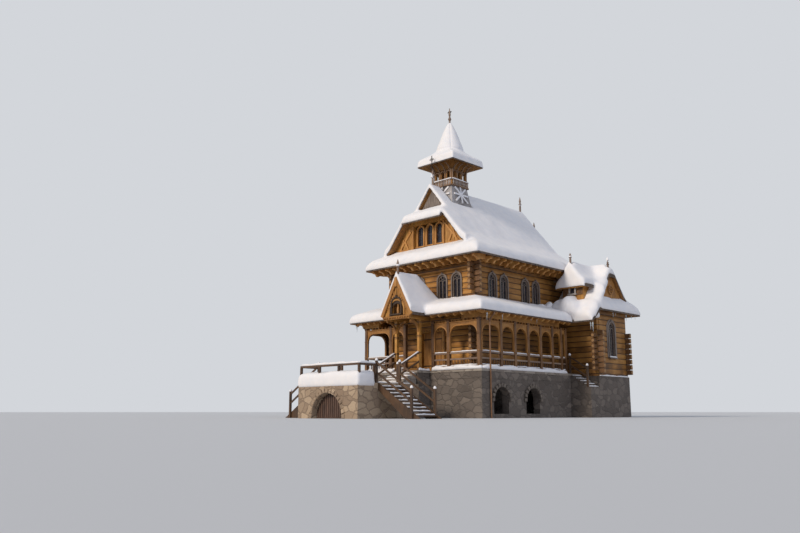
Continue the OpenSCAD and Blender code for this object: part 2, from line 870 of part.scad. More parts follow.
ent_hw = 1050;
ent_y = -7700;
ent_rise = 1900;
ent_post_x = 800;
ent_post_y = landing_front + 200;
ent_curve = [[0, 0], [ent_hw, ent_rise]];
// The entrance roof is hipped at the back, down to the porch roof
ent_back_y = front_y - 200;
ent_back_z = porch_eave_z + 620;
ent_back = [[0, 0], [900, ent_rise - 620]];
ent_beam_h = 180;

// Below the entrance roof, raised by dz and drawn out by e at its front
module under_entrance(dz, e) {
  intersection() {
    both() slope_x(below(ent_curve, dz, 400), ent_hw, porch_eave_z, ent_y - e, front_y);
    slope_back(below(level(ent_back), dz, ent_back_z), ent_back_y, ent_back_z, -ent_hw, ent_hw);
  }
}

// Space taken by the entrance roof
module entrance_cut() {
  under_entrance(roof_t, 100);
}

module entrance_posts() {
  h = post_w / 2;
  x = ent_post_x;
  color(honey) both() {
    block([x - h, ent_post_y - h, floor_z], [x + h, ent_post_y + h, porch_eave_z - ent_beam_h]);
    block([x - h, ent_y + 40, porch_eave_z - ent_beam_h], [x + h, post_y - h, porch_eave_z]);
  }
}

module entrance_gable() {
  color(bright) difference() {
    intersection() {
      block([-ent_hw, ent_y + 60, porch_eave_z], [ent_hw, ent_y + 160, far / 2]);
      both() slope_x(below(ent_curve, 0, 1), ent_hw, porch_eave_z, ent_y, front_y);
    }
    arch_y(0, porch_eave_z + 120, 640, 820, ent_y, ent_y + 200);
  }
}

module entrance_roof() {
  color(brown) difference() {
    under_entrance(roof_t, 0);
    under_entrance(0, 10);
  }
}

// Front gable and main roof

gable_y = front_y - 200;
gable_t = 120;
gable_base = front_top;
recess_y = gable_y + 330;
recess_hw = 1060;
recess_z = gable_base + 420;
verge_y = gable_y - 450;
awning_z = gable_base + gable_h;
awning_y = front_y - 800;
awning_run = 900;
awning_rise = 480;
awning_curve = [[0, 0], [awning_run, awning_rise]];
top_y = awning_y + awning_run;
top_verge = top_y - 200;
skirt_top_x = roof_hw - (gable_y - roof_front);
gable_win_x = [-680, 0, 680];

// Below the half-hip
module under_awning(dz) {
  slope_front(below(level(awning_curve), dz, awning_z), awning_y - 60, awning_z, -far / 4, far / 4);
}

// In front of the top gable, all that lies above the half-hip
module over_awning(dz) {
  difference() {
    block([-far / 4, -far / 4, awning_z], [far / 4, top_verge, far]);
    under_awning(dz);
  }
}

module gable_windows(w, h, y0, y1) {
  for (x = gable_win_x) arch_y(x, recess_z + 330, w, h, y0, y1);
}

// The wide gable with its set-back windows between half columns, and the small gable above the half-hip
module front_gable() {
  step = 150;
  column = 110;
  color(honey) {
    difference() {
      intersection() {
        union() {
          block([-roof_hw, gable_y, gable_base], [roof_hw, gable_y + gable_t, far / 2]);
          block([-nave_hw, gable_y, gable_base], [nave_hw, front_y, gable_base + step]);
          block([wall_t - nave_hw, front_y, gable_base],
            [nave_hw - wall_t, recess_y + gable_t, gable_base + step]);
          block([-recess_hw - gable_t, gable_y, gable_base],
            [recess_hw + gable_t, recess_y + gable_t, far / 2]);
        }
        under_main(0, gable_y - slack);
        under_awning(0);
      }
      block([-recess_hw, gable_y - slack, recess_z], [recess_hw, recess_y, awning_z - 20]);
      gable_windows(gable_win_w, gable_win_h, recess_y - slack, recess_y + gable_t + slack);
    }
    both() for (x = [gable_win_x[2] / 2, recess_hw - column / 2])
      block([x - column / 2, recess_y - column / 2, recess_z], [x + column / 2, recess_y, awning_z - 20]);
  }
  color(brown) intersection() {
    block([-awning_hw, top_y, awning_z + awning_rise], [awning_hw, top_y + 100, far / 2]);
    under_main(0, top_y - slack);
  }
}

function roof_plan(e) = [[roof_hw + e, roof_front - e], [roof_hw + e, roof_back], [0, roof_back],
  [0, awning_y - e], [awning_hw, awning_y - e], [awning_hw, verge_y], [nave_hw + 50, verge_y],
  [nave_hw + 50, gable_y], [skirt_top_x, gable_y]];
function skirt_plan(e) = [[0, roof_front - e], [roof_hw + e, roof_front - e], [skirt_top_x, gable_y],
  [0, gable_y]];

// One layer of the main roof: its profile, the profile and the top of the part on the half-hip, its snow
module main_layer(profile, awning_profile, top, snow, e) {
  both() difference() {
    intersection() {
      slope_x(profile, roof_hw, eave_z, roof_front - e, roof_back);
      plan(roof_plan(e));
    }
    over_awning(top);
  }
  both() intersection() {
    slope_front(profile, roof_front, eave_z, 0, roof_hw + e);
    plan(skirt_plan(e));
  }
  intersection() {
    slope_front(awning_profile, awning_y - 60, awning_z, -awning_hw, awning_hw);
    under_main(roof_t, awning_y - 200, snow);
    block([-awning_hw, awning_y - 200, 0], [awning_hw, top_y, far]);
  }
}

module main_roof() {
  color(brown) main_layer(band(main_curve, 0, roof_t), band(awning_curve, 0, roof_t), roof_t, 0, 0);
}

// Depth of the snow on the half-hip
awning_snow = snow_t * 0.8;

// Snow that hangs over the sloping edge of a gable at y, between two distances from the middle
module verge_roll(y, x0, x1) {
  both() intersection() {
    slope_x(concat(lift(main_curve, roof_t - droop), back(settled(main_curve, roof_t, snow_t, ridge_share))),
      roof_hw, eave_z, y - lip, y);
    block([x0, y - lip, 0], [x1, y, far]);
  }
}

module main_roof_snow() {
  color(snow_white) difference() {
    union() {
      main_layer(snow_band(main_curve, roof_t, snow_t, ridge_share),
        snow_band(awning_curve, roof_t, awning_snow, 1), roof_t + awning_snow, snow_t, lip);
      verge_roll(verge_y, awning_hw, nave_hw + 50);
      verge_roll(top_verge, 0, awning_hw);
    }
    main_roof();
    turret_cut();
    for (i = [0, 1]) finial_hole(finials[i]);
  }
}

rafter_step = 560;
rafter_h = 150;
rafter_w = 120;

module rafters() {
  w = rafter_w / 2;
  color(bright) both() {
    intersection() {
      for (y = [front_y + 300 : rafter_step : wing_y0 + 200])
        block([nave_hw, y - w, eave_z - rafter_h], [roof_hw - 90, y + w, far / 2]);
      slope_x(band(main_curve, -rafter_h, rafter_h), roof_hw, eave_z, roof_front, nave_back);
    }
    intersection() {
      for (x = [rafter_step / 2 : rafter_step : nave_hw])
        block([x - w, roof_front + 90, eave_z - rafter_h], [x + w, gable_y, far / 2]);
      slope_front(band(main_curve, -rafter_h, rafter_h), roof_front, eave_z, -roof_hw, roof_hw);
    }
  }
}

// Turret

belfry_t = 130;
sill_band = 300;
slot_w = 220;
slot_head = 230;
skirt_h = 1300;
skirt_t = 100;

// The volume of the turret below its sill, for cutting the snow
module turret_cut() {
  block([-skirt_hw, -turret_y - skirt_hw, 0], [skirt_hw, -turret_y + skirt_hw, far]);
}

// The flared skirt of the turret, drawn in by t on its sides
module skirt_volume(t) {
  c = [[t, 0], [t + 120, skirt_h * 0.385], [t + skirt_hw - belfry_hw, skirt_h]];
  z = sill_z - skirt_h;
  half = concat([for (p = c) [skirt_hw - p[0], z + p[1]]], back([for (p = c) [p[0] - skirt_hw, z + p[1]]]));
  intersection() {
    along_y(-turret_y - skirt_hw, -turret_y + skirt_hw) polygon(half);
    along_x(-skirt_hw, skirt_hw) translate([-turret_y, 0]) polygon(half);
  }
}

module above_main() {
  difference() {
    block([-far / 2, -far / 2, 0], [far / 2, far / 2, far]);
    both() slope_x(below(main_curve, roof_t, eave_z), roof_hw, eave_z, -far / 4, far / 4);
  }
}

module turret_base() {
  t = skirt_t;
  color(bright) intersection() {
    difference() {
      skirt_volume(0);
      translate([0, 0, -t]) skirt_volume(t);
    }
    above_main();
  }
}

module belfry() {
  a = belfry_hw;
  i = belfry_hw - belfry_t;
  color(bright) translate([0, -turret_y, 0]) {
    difference() {
      block([-a - 60, -a - 60, sill_z], [a + 60, a + 60, sill_z + sill_band]);
      block([-i, -i, sill_z - 1], [i, i, sill_z + sill_band + 1]);
    }
    difference() {
      intersection() {
        block([-a, -a, sill_z + sill_band], [a, a, cap_z + cap_rise]);
        translate([0, 0, cap_z]) cap_shape(below(cap_curve, 0, 2 * cap_hw));
      }
      block([-i, -i, sill_z], [i, i, cap_z + cap_rise]);
      for (r = [0, 90], k = [-1 : 1])
        rotate([0, 0, r]) arch_y(k * (slot_w + 180), sill_z + sill_band, slot_w, belfry_h - sill_band - slot_head,
          -a - slack, a + slack);
    }
  }
}

// A four-sided hipped cap over the turret
module cap_shape(profile) {
  intersection() {
    union() both() slope_x(profile, cap_hw, 0, -cap_hw, cap_hw);
    union() for (a = [90, 270]) rotate([0, 0, a]) slope_x(profile, cap_hw, 0, -cap_hw, cap_hw);
  }
}

module turret_cap() {
  color(brown) translate([0, -turret_y, cap_z]) difference() {
    cap_shape(below(cap_curve, roof_t, 0));
    cap_shape(below(cap_curve, 0, 1));
  }
}

// Depth of the snow on the turret
cap_snow = snow_t * 0.74;

module turret_snow() {
  color(snow_white) difference() {
    translate([0, -turret_y, cap_z]) difference() {
      cap_shape(below(cap_curve, roof_t + cap_snow, 0));
      cap_shape(below(cap_curve, roof_t, 1));
    }
    finial_hole(finials[3]);
  }
}

// Place and foot height of each finial, height of its foot above the shingles, height above the snow
finials = [
  [0, top_y + 50, ridge_top, 650],
  [0, nave_back, ridge_top, 650],
  [0, ent_y + 110, porch_eave_z + ent_rise + roof_t, 520],
  [0, -turret_y, cap_z + cap_rise + roof_t, 900],
  [0, chancel_eave_y - chancel_roof_hw - 50, chancel_top + chancel_rise + roof_t, 650]];
shank_r = 60;

// A turned finial that stands through the snow
module finial(f) {
  h = f[3];
  translate([f[0], f[1], f[2]]) rotate_extrude($fn = 32)
    polygon([[0, 0], [shank_r, 0], [shank_r, snow_t], [50, snow_t + h * 0.12], [95, snow_t + h * 0.26],
      [40, snow_t + h * 0.42], [70, snow_t + h * 0.56], [12, snow_t + h], [0, snow_t + h]]);
}

module finial_hole(f, r = shank_r) {
  translate([f[0], f[1], f[2] - far / 20]) cylinder(r = r, h = far / 10, $fn = 32);
}

module pinnacles() {
  color("#6b6058") {
    for (f = finials) finial(f);
    both() difference() {
      for (f = small_finials) finial(f);
      under_wing(roof_t);
    }
  }
}

// Wings

wing_plan = [[wing_hw, wing_verge_y], [wing_verge_x, wing_verge_y], [wing_verge_x, wing_verge_back],
  [wing_hw, wing_verge_back], [wing_hw, wing_back_y], [0, wing_back_y]];

// Below the low eave round the outer end of a wing, raised by dz
module under_skirt(dz) {
  intersection() {
    under_slopes(dz);
    slope_x(below(wing_skirt, dz, wing_z + wing_skirt_h), wing_eave_x, wing_z + wing_skirt_h, 0, far / 4);
  }
}

// One layer of a wing roof
module wing_layer(dz, t, e) {
  y0 = valley_out(e)[1];
  intersection() {
    difference() {
      under_wing(dz + t);
      under_wing(dz);
    }
    plan(concat([[0, wing_ridge_y], [0, valley_in[1]], valley_in, valley_out(e), [wing_hw, y0]], wing_plan));
  }
  intersection() {
    difference() {
      under_skirt(dz + t);
      under_skirt(dz);
    }
    block([wing_hw, y0, 0], [wing_eave_x, wing_back_y, far]);
  }
}

// The rolls of snow over the three eaves of a wing and over the edge of its gable
module wing_rolls() {
  edge = roll(roof_t, snow_t);
  hip_z = wing_z + wing_skirt_h;
  slope_front(edge, valley_y, wing_z, porch_eave_x + 2 * lip, wing_eave_x);
  slope_back(edge, wing_back_y, hip_z, chancel_roof_hw, wing_eave_x);
  slope_x(edge, wing_eave_x, hip_z, wing_hip_y0 + lip, wing_back_y + lip);
  intersection() {
    difference() {
      under_wing(roof_t + snow_t);
      under_wing(roof_t - droop);
    }
    block([wing_verge_x, wing_verge_y, 0], [wing_verge_x + lip, wing_verge_back, far]);
  }
}

module nave_cut() {
  block([0, front_y, 0], [nave_hw + log_bulge, nave_back, far]);
  block([0, front_y, eave_z - 100], [roof_hw + 60, roof_back + 30, far]);
}

module rear_roofs() {
  color(brown) {
    both() difference() {
      union() {
        difference() {
          wing_layer(0, roof_t, 0);
          under_dormer(0, 0);
        }
        difference() {
          under_dormer(roof_t, 0);
          under_dormer(0, slack);
          under_wing(0);
        }
      }
      under_chancel(roof_t);
      nave_cut();
    }
    difference() {
      under_chancel(roof_t);
      under_chancel(0);
    }
  }
}

module rear_snow() {
  color(snow_white) {
    both() difference() {
      union() {
        wing_layer(roof_t, snow_t, lip);
        wing_rolls();
        difference() {
          under_dormer(roof_t + dormer_snow, dormer_crust);
          dormer_below();
          under_wing(roof_t);
        }
      }
      wing_layer(0, roof_t, 0);
      under_dormer(roof_t, 0);
      under_chancel(roof_t);
      nave_cut();
      for (f = small_finials) finial_hole(f, 2 * shank_r);
    }
    difference() {
      under_chancel(roof_t + snow_t);
      under_chancel(roof_t);
      both() difference() {
        under_wing(roof_t);
        nave_cut();
      }
      finial_hole(finials[4]);
    }
  }
}

dormer_x = 4400;
dormer_y = 1950;
dormer_hw = 650;
dormer_over = 310;
dormer_front = dormer_y - dormer_over;
dormer_in = dormer_hw - gable_t;
dormer_roof_hw = dormer_hw + dormer_over;
dormer_rise = 1150;
dormer_curve = [[0, 0], [dormer_roof_hw * 0.33, dormer_rise * 0.18], [dormer_roof_hw, dormer_rise]];
dormer_z = floor_z + chancel_eave_h;
// Depth of the snow on a dormer, and of the snow blown onto its front
dormer_snow = snow_t * 0.9;
dormer_crust = 80;

// The wing's finial stands on its half-hip, this far in from the edge
wing_fin_in = 250;
wing_fin_z = wing_z + wing_hip_h + lookup(wing_fin_in, wing_hip) + roof_t - shank_r;
// The finials on the right-hand dormer and wing, which the left-hand ones mirror
small_finials = [
  [dormer_x, dormer_front + 160, dormer_z + dormer_rise + roof_t, 330],
  [wing_verge_x - wing_fin_in, wing_ridge_y, wing_fin_z, 300]];

// Below the hood of a dormer, raised by dz and drawn out by e at its front
module under_dormer(dz, e) {
  translate([dormer_x, 0, 0]) both()
    slope_x(below(dormer_curve, dz, dormer_z), dormer_roof_hw, dormer_z, dormer_front - e, wing_ridge_y);
}

// Under the eaves of a dormer's hood
module dormer_below() {
  block([0, -far / 4, 0], [far / 4, far / 4, dormer_z]);
}

module dormers() {
  color(honey) both() {
    difference() {
      intersection() {
        block([dormer_x - dormer_hw, dormer_y, wing_z], [dormer_x + dormer_hw, wing_ridge_y, far / 2]);
        under_dormer(0, 0);
      }
      block([dormer_x - dormer_in, dormer_y + gable_t, wing_z], [dormer_x + dormer_in, far, far / 2]);
      under_wing(roof_t);
      nave_cut();
      arch_y(dormer_x, dormer_z - 300, 300, 440, dormer_y - slack, dormer_y + 60);
    }
    intersection() {
      block([dormer_x - dormer_roof_hw, dormer_front + 40, dormer_z],
        [dormer_x + dormer_roof_hw, dormer_front + 110, far / 2]);
      difference() {
        under_dormer(0, 0);
        nave_cut();
      }
    }
  }
}

// Stairs and terrace

terrace_back = -terrace_front + terrace_len;
flight_y0 = -10970;
flight_y1 = flight_y0 + flight_w;
flight_steps = 10;
newel = 100;
newel_x = terrace_hw + 2200;
string_t = 60;
string_h = 300;
tread_t = 50;
crown_h = 1150;
vault_t = 260;

module terrace() {
  t = stone_t;
  hw = terrace_hw;
  color(stone_grey) difference() {
    block([-hw, -terrace_front, 0], [hw, terrace_back, deck_z]);
    block([-hw + t, -terrace_front + t, -1], [hw - t, terrace_back - t, deck_z - vault_t]);
    arch_y(0, -1, 2 * terrace_arch_r, crown_h, -terrace_front - slack, -terrace_front + t + slack);
  }
}

snow_back = flight_y0 - 2 * newel;
terrace_snow_h = 560;
terrace_lip = 90;
terrace_droop = 160;

// The snow on the terrace, deep along its front where it hangs over the wall
module terrace_snow() {
  hw = terrace_hw;
  color(snow_white) difference() {
    union() {
      block([-hw - terrace_lip, -terrace_front - terrace_lip, deck_z - terrace_droop],
        [hw + terrace_lip, snow_back, deck_z + terrace_snow_h]);
      block([-hw + lip, -terrace_front, deck_z], [hw - lip, terrace_back - 4 * newel, deck_z + 60]);
    }
    block([-hw, -terrace_front, 0], [hw, terrace_back, deck_z]);
    both() for (y = [flight_y0 - newel, flight_y1]) upper_newel(y);
    both() terrace_posts();
  }
}

module entrance_stair() {
  n = 4;
  hw = 800;
  y_top = landing_front - coping;
  run = (y_top - terrace_back) / n;
  color(brown) for (i = [1 : n])
    block([-hw, y_top - i * run, 0], [hw, y_top - (i - 1) * run, floor_z - i * (floor_z - deck_z) / (n + 1)]);
}

// A flight of treads between two strings
module terrace_flights() {
  n = flight_steps;
  run = flight_run / n;
  rise = deck_z / n;
  x0 = terrace_hw;
  x1 = terrace_hw + flight_run;
  color(brown) both() {
    for (y = [flight_y0, flight_y1 - string_t]) along_y(y, y + string_t) intersection() {
      polygon([[x0, deck_z - string_h], [x0, deck_z], [x1, 0], [x1 - 2 * run, -string_h]]);
      square([far, far]);
    }
    for (i = [1 : n - 1])
      block([x0 + (i - 1) * run, flight_y0 + 5, deck_z - i * rise - tread_t],
        [x0 + i * run + 40, flight_y1 - 5, deck_z - i * rise]);
  }
}

side_steps = 5;
side_run = 250;
side_rise = 150;

module side_stairs() {
  color(brown) both() difference() {
    for (i = [1 : side_steps])
      block([plinth_x + (i - 1) * side_run, side_posts[6], 0],
        [plinth_x + i * side_run, wing_y0 - base_over, min(base_top, floor_z - i * side_rise)]);
    porch_plinth();
  }
}

// A sloping rail along X, between two heights
module rail_x(x0, z0, x1, z1, y) {
  along_y(y - rail_t / 2, y + rail_t / 2) polygon([[x0, z0], [x1, z1], [x1, z1 + rail_d], [x0, z0 + rail_d]]);
}

// A sloping rail along Y, between two heights
module rail_y(y0, z0, y1, z1, x) {
  along_x(x - rail_t / 2, x + rail_t / 2) polygon([[y0, z0], [y1, z1], [y1, z1 + rail_d], [y0, z0 + rail_d]]);
}

rail_t = 60;
rail_d = 90;
newel_h = 1000;
hand_h = 850;
knee_h = 400;
// The terrace rail: its height over the deck, and how far its posts stand in from the walls
terrace_rail_h = 860;
rail_in = 120;
terrace_rail_x = terrace_hw - newel / 2;

// A newel at the head of a flight, on the edge of the terrace
module upper_newel(y) {
  block([terrace_hw - newel, y, deck_z], [terrace_hw, y + newel, deck_z + newel_h]);
}

// The posts of the terrace rail on one half, in the deep snow
module terrace_posts() {
  y = -terrace_front + rail_in;
  for (x = [terrace_rail_x, terrace_rail_x / 3])
    block([x - newel / 2, y - newel / 2, deck_z], [x + newel / 2, y + newel / 2, deck_z + terrace_rail_h - rail_d]);
}

// The rail along the front and the sides of the terrace, over the snow
module terrace_rail() {
  y = -terrace_front + rail_in;
  x = terrace_rail_x;
  w = rail_d / 2;
  z = deck_z + terrace_rail_h;
  terrace_posts();
  block([0, y - w, z - rail_d], [x + w, y + w, z]);
  block([x - w, y + w, z - rail_d], [x + w, flight_y0 - newel, z]);
}

module handrails() {
  drop = deck_z * (newel_x - newel - terrace_hw) / flight_run;
  color(honey) both() {
    for (y = [flight_y0 - newel, flight_y1]) {
      upper_newel(y);
      block([newel_x - newel, y, 0], [newel_x, y + newel, deck_z - drop + newel_h]);
      for (h = [hand_h, knee_h])
        rail_x(terrace_hw, deck_z + h, newel_x - newel, deck_z - drop + h, y + newel / 2);
    }
    for (h = [hand_h, knee_h])
      rail_y(ent_post_y - post_w / 2, floor_z + h, terrace_back - newel, deck_z + h, ent_post_x + newel / 2);
    block([ent_post_x, terrace_back - 2 * newel, deck_z], [ent_post_x + newel, terrace_back - newel, deck_z + newel_h]);
    terrace_rail();
    side_rail();
  }
}

// The rail of the side stair
module side_rail() {
  y = side_posts[6] + newel / 2;
  n = side_steps - 1;
  x1 = plinth_x + side_run * n;
  z1 = floor_z - side_rise * n;
  block([x1, y - newel / 2, z1 - side_rise], [x1 + newel, y + newel / 2, z1 + hand_h + 150]);
  for (h = [hand_h, knee_h]) rail_x(plinth_x + coping, floor_z + h, x1, z1 + h, y);
  block([plinth_x - newel + coping, y - newel / 2, floor_z], [plinth_x + coping, y + newel / 2, floor_z + newel_h]);
}

pipe_r = 38;
socket_r = 52;
socket_h = 120;

// A downpipe with a swan neck at each front corner of the porch
module downpipe() {
  y = post_y + 350;
  x = plinth_x + coping + pipe_r;
  top = porch_eave_z - 80;
  neck = porch_eave_x - x;
  color("#5b4a3c") both() {
    translate([x, y, 0]) cylinder(r = pipe_r, h = top - neck, $fn = 32);
    translate([x, y, top - neck]) rotate([0, 45, 0]) cylinder(r = pipe_r, h = neck * sqrt(2), $fn = 32);
    for (d = [0, neck]) translate([x + d, y, top - neck + d - socket_h / 2]) cylinder(r = socket_r, h = socket_h, $fn = 32);
  }
}

foundation();
porch_plinth();
porch_floor();
room_floor();
front_wall_left();
front_wall_right();
front_wall_upper();
nave_wall_left();
nave_wall_right();
nave_back_wall();
wing_walls_left();
wing_walls_right();
chancel_walls();
corner_logs();
door_frame();
door_leaf_left();
door_leaf_right();
window_frames();
window_glass();
porch_posts();
porch_arches();
porch_rails();
porch_beams();
porch_roof();
porch_snow();
entrance_posts();
entrance_gable();
entrance_roof();
front_gable();
main_roof();
main_roof_snow();
rafters();
turret_base();
belfry();
turret_cap();
turret_snow();
pinnacles();
rear_roofs();
rear_snow();
wing_gables();
dormers();
entrance_stair();
terrace();
terrace_snow();
terrace_flights();
side_stairs();
handrails();
downpipe();
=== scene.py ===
# %% [markdown]
# # A snowbound timber mountain chapel
# The object is a small log church on a stone base, with an arcaded porch, steep roofs deep in snow and a
# ridge turret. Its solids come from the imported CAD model, in metres, and stay where they are. This file
# gives each of them a finish and adds what a carpenter, a mason and a few nights of snow would add.

# %% Load the frame
import math

import bmesh
import bpy
import numpy as np
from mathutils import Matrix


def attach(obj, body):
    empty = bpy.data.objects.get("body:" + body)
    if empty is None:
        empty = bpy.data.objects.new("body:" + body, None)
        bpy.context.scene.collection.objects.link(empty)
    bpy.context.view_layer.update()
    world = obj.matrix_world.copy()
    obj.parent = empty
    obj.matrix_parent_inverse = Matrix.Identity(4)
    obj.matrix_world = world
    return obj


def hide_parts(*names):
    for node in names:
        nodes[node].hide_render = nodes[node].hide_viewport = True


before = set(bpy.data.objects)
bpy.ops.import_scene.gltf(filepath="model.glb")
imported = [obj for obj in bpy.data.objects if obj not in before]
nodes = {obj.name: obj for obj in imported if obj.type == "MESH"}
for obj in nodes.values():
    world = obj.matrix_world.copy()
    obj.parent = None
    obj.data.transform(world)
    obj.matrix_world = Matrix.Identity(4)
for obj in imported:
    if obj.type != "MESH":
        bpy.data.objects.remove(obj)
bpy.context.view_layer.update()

# %% [markdown]
# ## Colour and nodes
# Colours are written as they would be mixed on a screen, in hexadecimal. Blender's shaders work with light,
# so one function turns them to linear values. A second one adds a shader node with its settings and links.

# %% Colour and nodes
def linear(code):
    """Linear RGBA of an sRGB hex code. Each value c becomes c / 12.92 up to 0.04045, and above that
    ((c + 0.055) / 1.055) to the power 2.4."""
    c = np.array([int(code[i:i + 2], 16) for i in (1, 3, 5)]) / 255
    c = np.where(c <= 0.04045, c / 12.92, ((c + 0.055) / 1.055) ** 2.4)
    return [*c.tolist(), 1.0]


def node(tree, kind, links=(), **settings):
    """Add one node. Each link is (socket, what feeds it): another node's output or a plain value. A setting
    that names a socket sets its value, any other is a property of the node."""
    made = tree.nodes.new(kind)
    for key, value in settings.items():
        name = key.replace("_", " ")
        sockets = {s.name.lower(): s for s in made.inputs}
        if name in sockets and not hasattr(made, key):
            sockets[name].default_value = value
        else:
            setattr(made, key, value)
    for socket, source in links:
        if isinstance(source, bpy.types.NodeSocket):
            tree.links.new(source, made.inputs[socket])
        else:
            made.inputs[socket].default_value = source
    return made


print("the middle grey of a screen in linear light:", linear("#808080")[:3])

# %% [markdown]
# ## Short names for common nodes
# The same few nodes come up again and again: coordinates, noise, arithmetic, blends and ramps. Each gets a
# short function that hands back its result, so that every material below reads as a recipe.

# %% Short names for common nodes
def place_in(tree, kind="Object"):
    """The coordinates that a pattern is laid in: the object's own metres, or its UV map."""
    return node(tree, "ShaderNodeTexCoord").outputs[kind]


def stretched(tree, place, scale):
    """Coordinates multiplied by a scale for each axis. A pattern runs long where the scale is small."""
    return node(tree, "ShaderNodeMapping", [("Vector", place), ("Scale", scale)]).outputs["Vector"]


def noise(tree, place, scale, detail, **settings):
    """Cloudy values from 0 to 1, with about scale clouds to a metre."""
    return node(tree, "ShaderNodeTexNoise", [("Vector", place)], scale=scale, detail=detail,
                **settings).outputs["Fac"]


def maths(tree, operation, *values):
    """The result of a Math node. Each value is a number or another node's output."""
    return node(tree, "ShaderNodeMath", enumerate(values), operation=operation).outputs[0]


def rescaled(tree, value, low, high):
    """A value taken from the range low to high onto 0 to 1, and kept inside it."""
    limits = [("Value", value), ("From Min", low), ("From Max", high)]
    return node(tree, "ShaderNodeMapRange", limits).outputs["Result"]


def mixed(tree, factor, first, second, **settings):
    """A blend of two colours: the first where factor is 0, the second where it is 1."""
    return node(tree, "ShaderNodeMix", [("Factor", factor), ("A", first), ("B", second)], data_type="RGBA",
                **settings).outputs["Result"]


def ramp(tree, source, codes, low=0.0, high=1.0):
    """A colour ramp fed by a value, with its hex colours spread evenly from low to high."""
    made = node(tree, "ShaderNodeValToRGB", [("Fac", source)])
    band = made.color_ramp
    while len(band.elements) < len(codes):
        band.elements.new(0.5)
    for element, place, code in zip(band.elements, np.linspace(low, high, len(codes)), codes):
        element.position = place
        element.color = linear(code)
    return made.outputs["Color"]


print("short names:", [each.__name__ for each in (place_in, stretched, noise, maths, rescaled, mixed, ramp)])

# %% [markdown]
# ## A bare material
# Every material starts as one Principled shader, which stands for most real surfaces. Its plain values are
# set first. Then its colour and a fine relief are fed from a pattern.

# %% A bare material
def new_material(name, **values):
    """A material with one Principled shader. values are set on its own sockets."""
    made = bpy.data.materials.new(name)
    made.use_nodes = True
    shader = made.node_tree.nodes["Principled BSDF"]
    for key, value in values.items():
        shader.inputs[key.replace("_", " ")].default_value = value
    return made, made.node_tree, shader


def dress(tree, shader, colour, height, strength, distance):
    """Feed a colour and a relief to the shader. distance is the real height of the relief in metres."""
    tree.links.new(colour, shader.inputs["Base Color"])
    made = node(tree, "ShaderNodeBump", [("Height", height), ("Strength", strength), ("Distance", distance)])
    tree.links.new(made.outputs["Normal"], shader.inputs["Normal"])


print("materials before the first recipe:", len(bpy.data.materials))

# %% [markdown]
# ## Settled snow
# Three days of snow lie on every ledge. Fresh snow is nearly white and scatters light inside, so its shadows
# are soft and a little blue. Wind leaves shallow waves of about 400 mm and a grain of a few millimetres,
# which is drawn at 30 mm here because the real one is too fine to show.

# %% Snow
def make_snow():
    """Snow: white, with faint blue painted shade in the hollows of the waves, and waves and grain as bump."""
    made, tree, shader = new_material("settled_snow", Roughness=0.62, IOR=1.31, Subsurface_Weight=0.12,
                                      Subsurface_Radius=(0.08, 0.09, 0.1), Subsurface_Scale=0.1)
    wave = noise(tree, place_in(tree), 2.4, 4.0, roughness=0.55)
    grain = noise(tree, place_in(tree), 34.0, 3.0)
    # Painted shade: the low parts of the waves are a touch darker and bluer.
    colour = ramp(tree, wave, ("#E2E1E5", "#EAE7E8"), 0.3, 0.62)
    dress(tree, shader, colour, maths(tree, "MULTIPLY_ADD", grain, 0.12, wave), 0.22, 0.035)
    return made


# Snow gives the eye the large calm shapes, against which all the wood reads as dark and fine.
snow = make_snow()
print("material:", snow.name)

# %% [markdown]
# ## Logs
# The walls are peeled spruce logs, oiled and aged to honey by the sun. Their grain runs along each log, and
# every course has its own shade, because every log is another tree. The gap between two courses is caulked
# and dark. The pattern counts courses of 300 mm upwards from the porch floor, as the carpenter did.

# %% Logs
COURSE = 0.30
FLOOR = 2.35


def make_log(name, stretch, codes):
    """Peeled logs laid along one axis: grain 17 mm wide and 600 mm long, a shade of its own for each course,
    and dark joints between the courses."""
    made, tree, shader = new_material(name, Roughness=0.58, IOR=1.48)
    place = place_in(tree)
    height = node(tree, "ShaderNodeSeparateXYZ", [("Vector", place)]).outputs["Z"]
    course = maths(tree, "DIVIDE", maths(tree, "SUBTRACT", height, FLOOR), COURSE)
    trunk = node(tree, "ShaderNodeTexWhiteNoise", [("W", maths(tree, "FLOOR", course))],
                 noise_dimensions="1D").outputs["Value"]
    grain = noise(tree, stretched(tree, place, stretch), 1.0, 5.0, roughness=0.6, distortion=0.4)
    blotch = noise(tree, place, 1.3, 3.0)
    shade = maths(tree, "ADD", maths(tree, "MULTIPLY_ADD", trunk, 0.3, grain), blotch)
    colour = ramp(tree, rescaled(tree, shade, 0.8, 1.5), codes)
    edge = maths(tree, "PINGPONG", maths(tree, "FRACT", course), 0.5)
    caulked = mixed(tree, rescaled(tree, edge, 0.02, 0.12), linear("#2A1709"), colour)
    dress(tree, shader, caulked, grain, 0.4, 0.008)
    return made


# The front logs are the warm middle tone of the whole building.
log_x = make_log("oiled_spruce_logs_across", (1.6, 60, 60), ("#4E3112", "#A06C2B", "#BE8B45"))
# Painted shade: the side logs are the same spruce painted a step darker, for the shade on that side,
# so that the corner between them shows.
log_y = make_log("spruce_logs_along_painted_shade", (60, 1.6, 60), ("#4B3013", "#8F612A", "#AE7F42"))
print("log courses of", COURSE, "m from", FLOOR, "m up")

# %% [markdown]
# ## Squared timber
# Beams, boards and posts are sawn or planed larch. Grain is noise drawn out 14 times along the timber. On
# whole CAD nodes it follows the axis most of the node's timbers have. On the small parts further down it
# follows a UV map laid along each board. Age tells the timbers apart: honey where the roof shelters them,
# brown on posts and stairs, grey where rain and sun reach. The posts' brown is also partly painted shade,
# so that they stand dark against the lit walls.

# %% Squared timber
ALONG_X, ALONG_Y, ALONG_Z = (1.0, 14.0, 14.0), (14.0, 1.0, 14.0), (14.0, 14.0, 1.0)
HONEY = ("#5E3D18", "#A5722F", "#C8954C")
GREY = ("#4C3B33", "#7C6658", "#9A8676")
BROWN = ("#36241A", "#664629", "#876341")


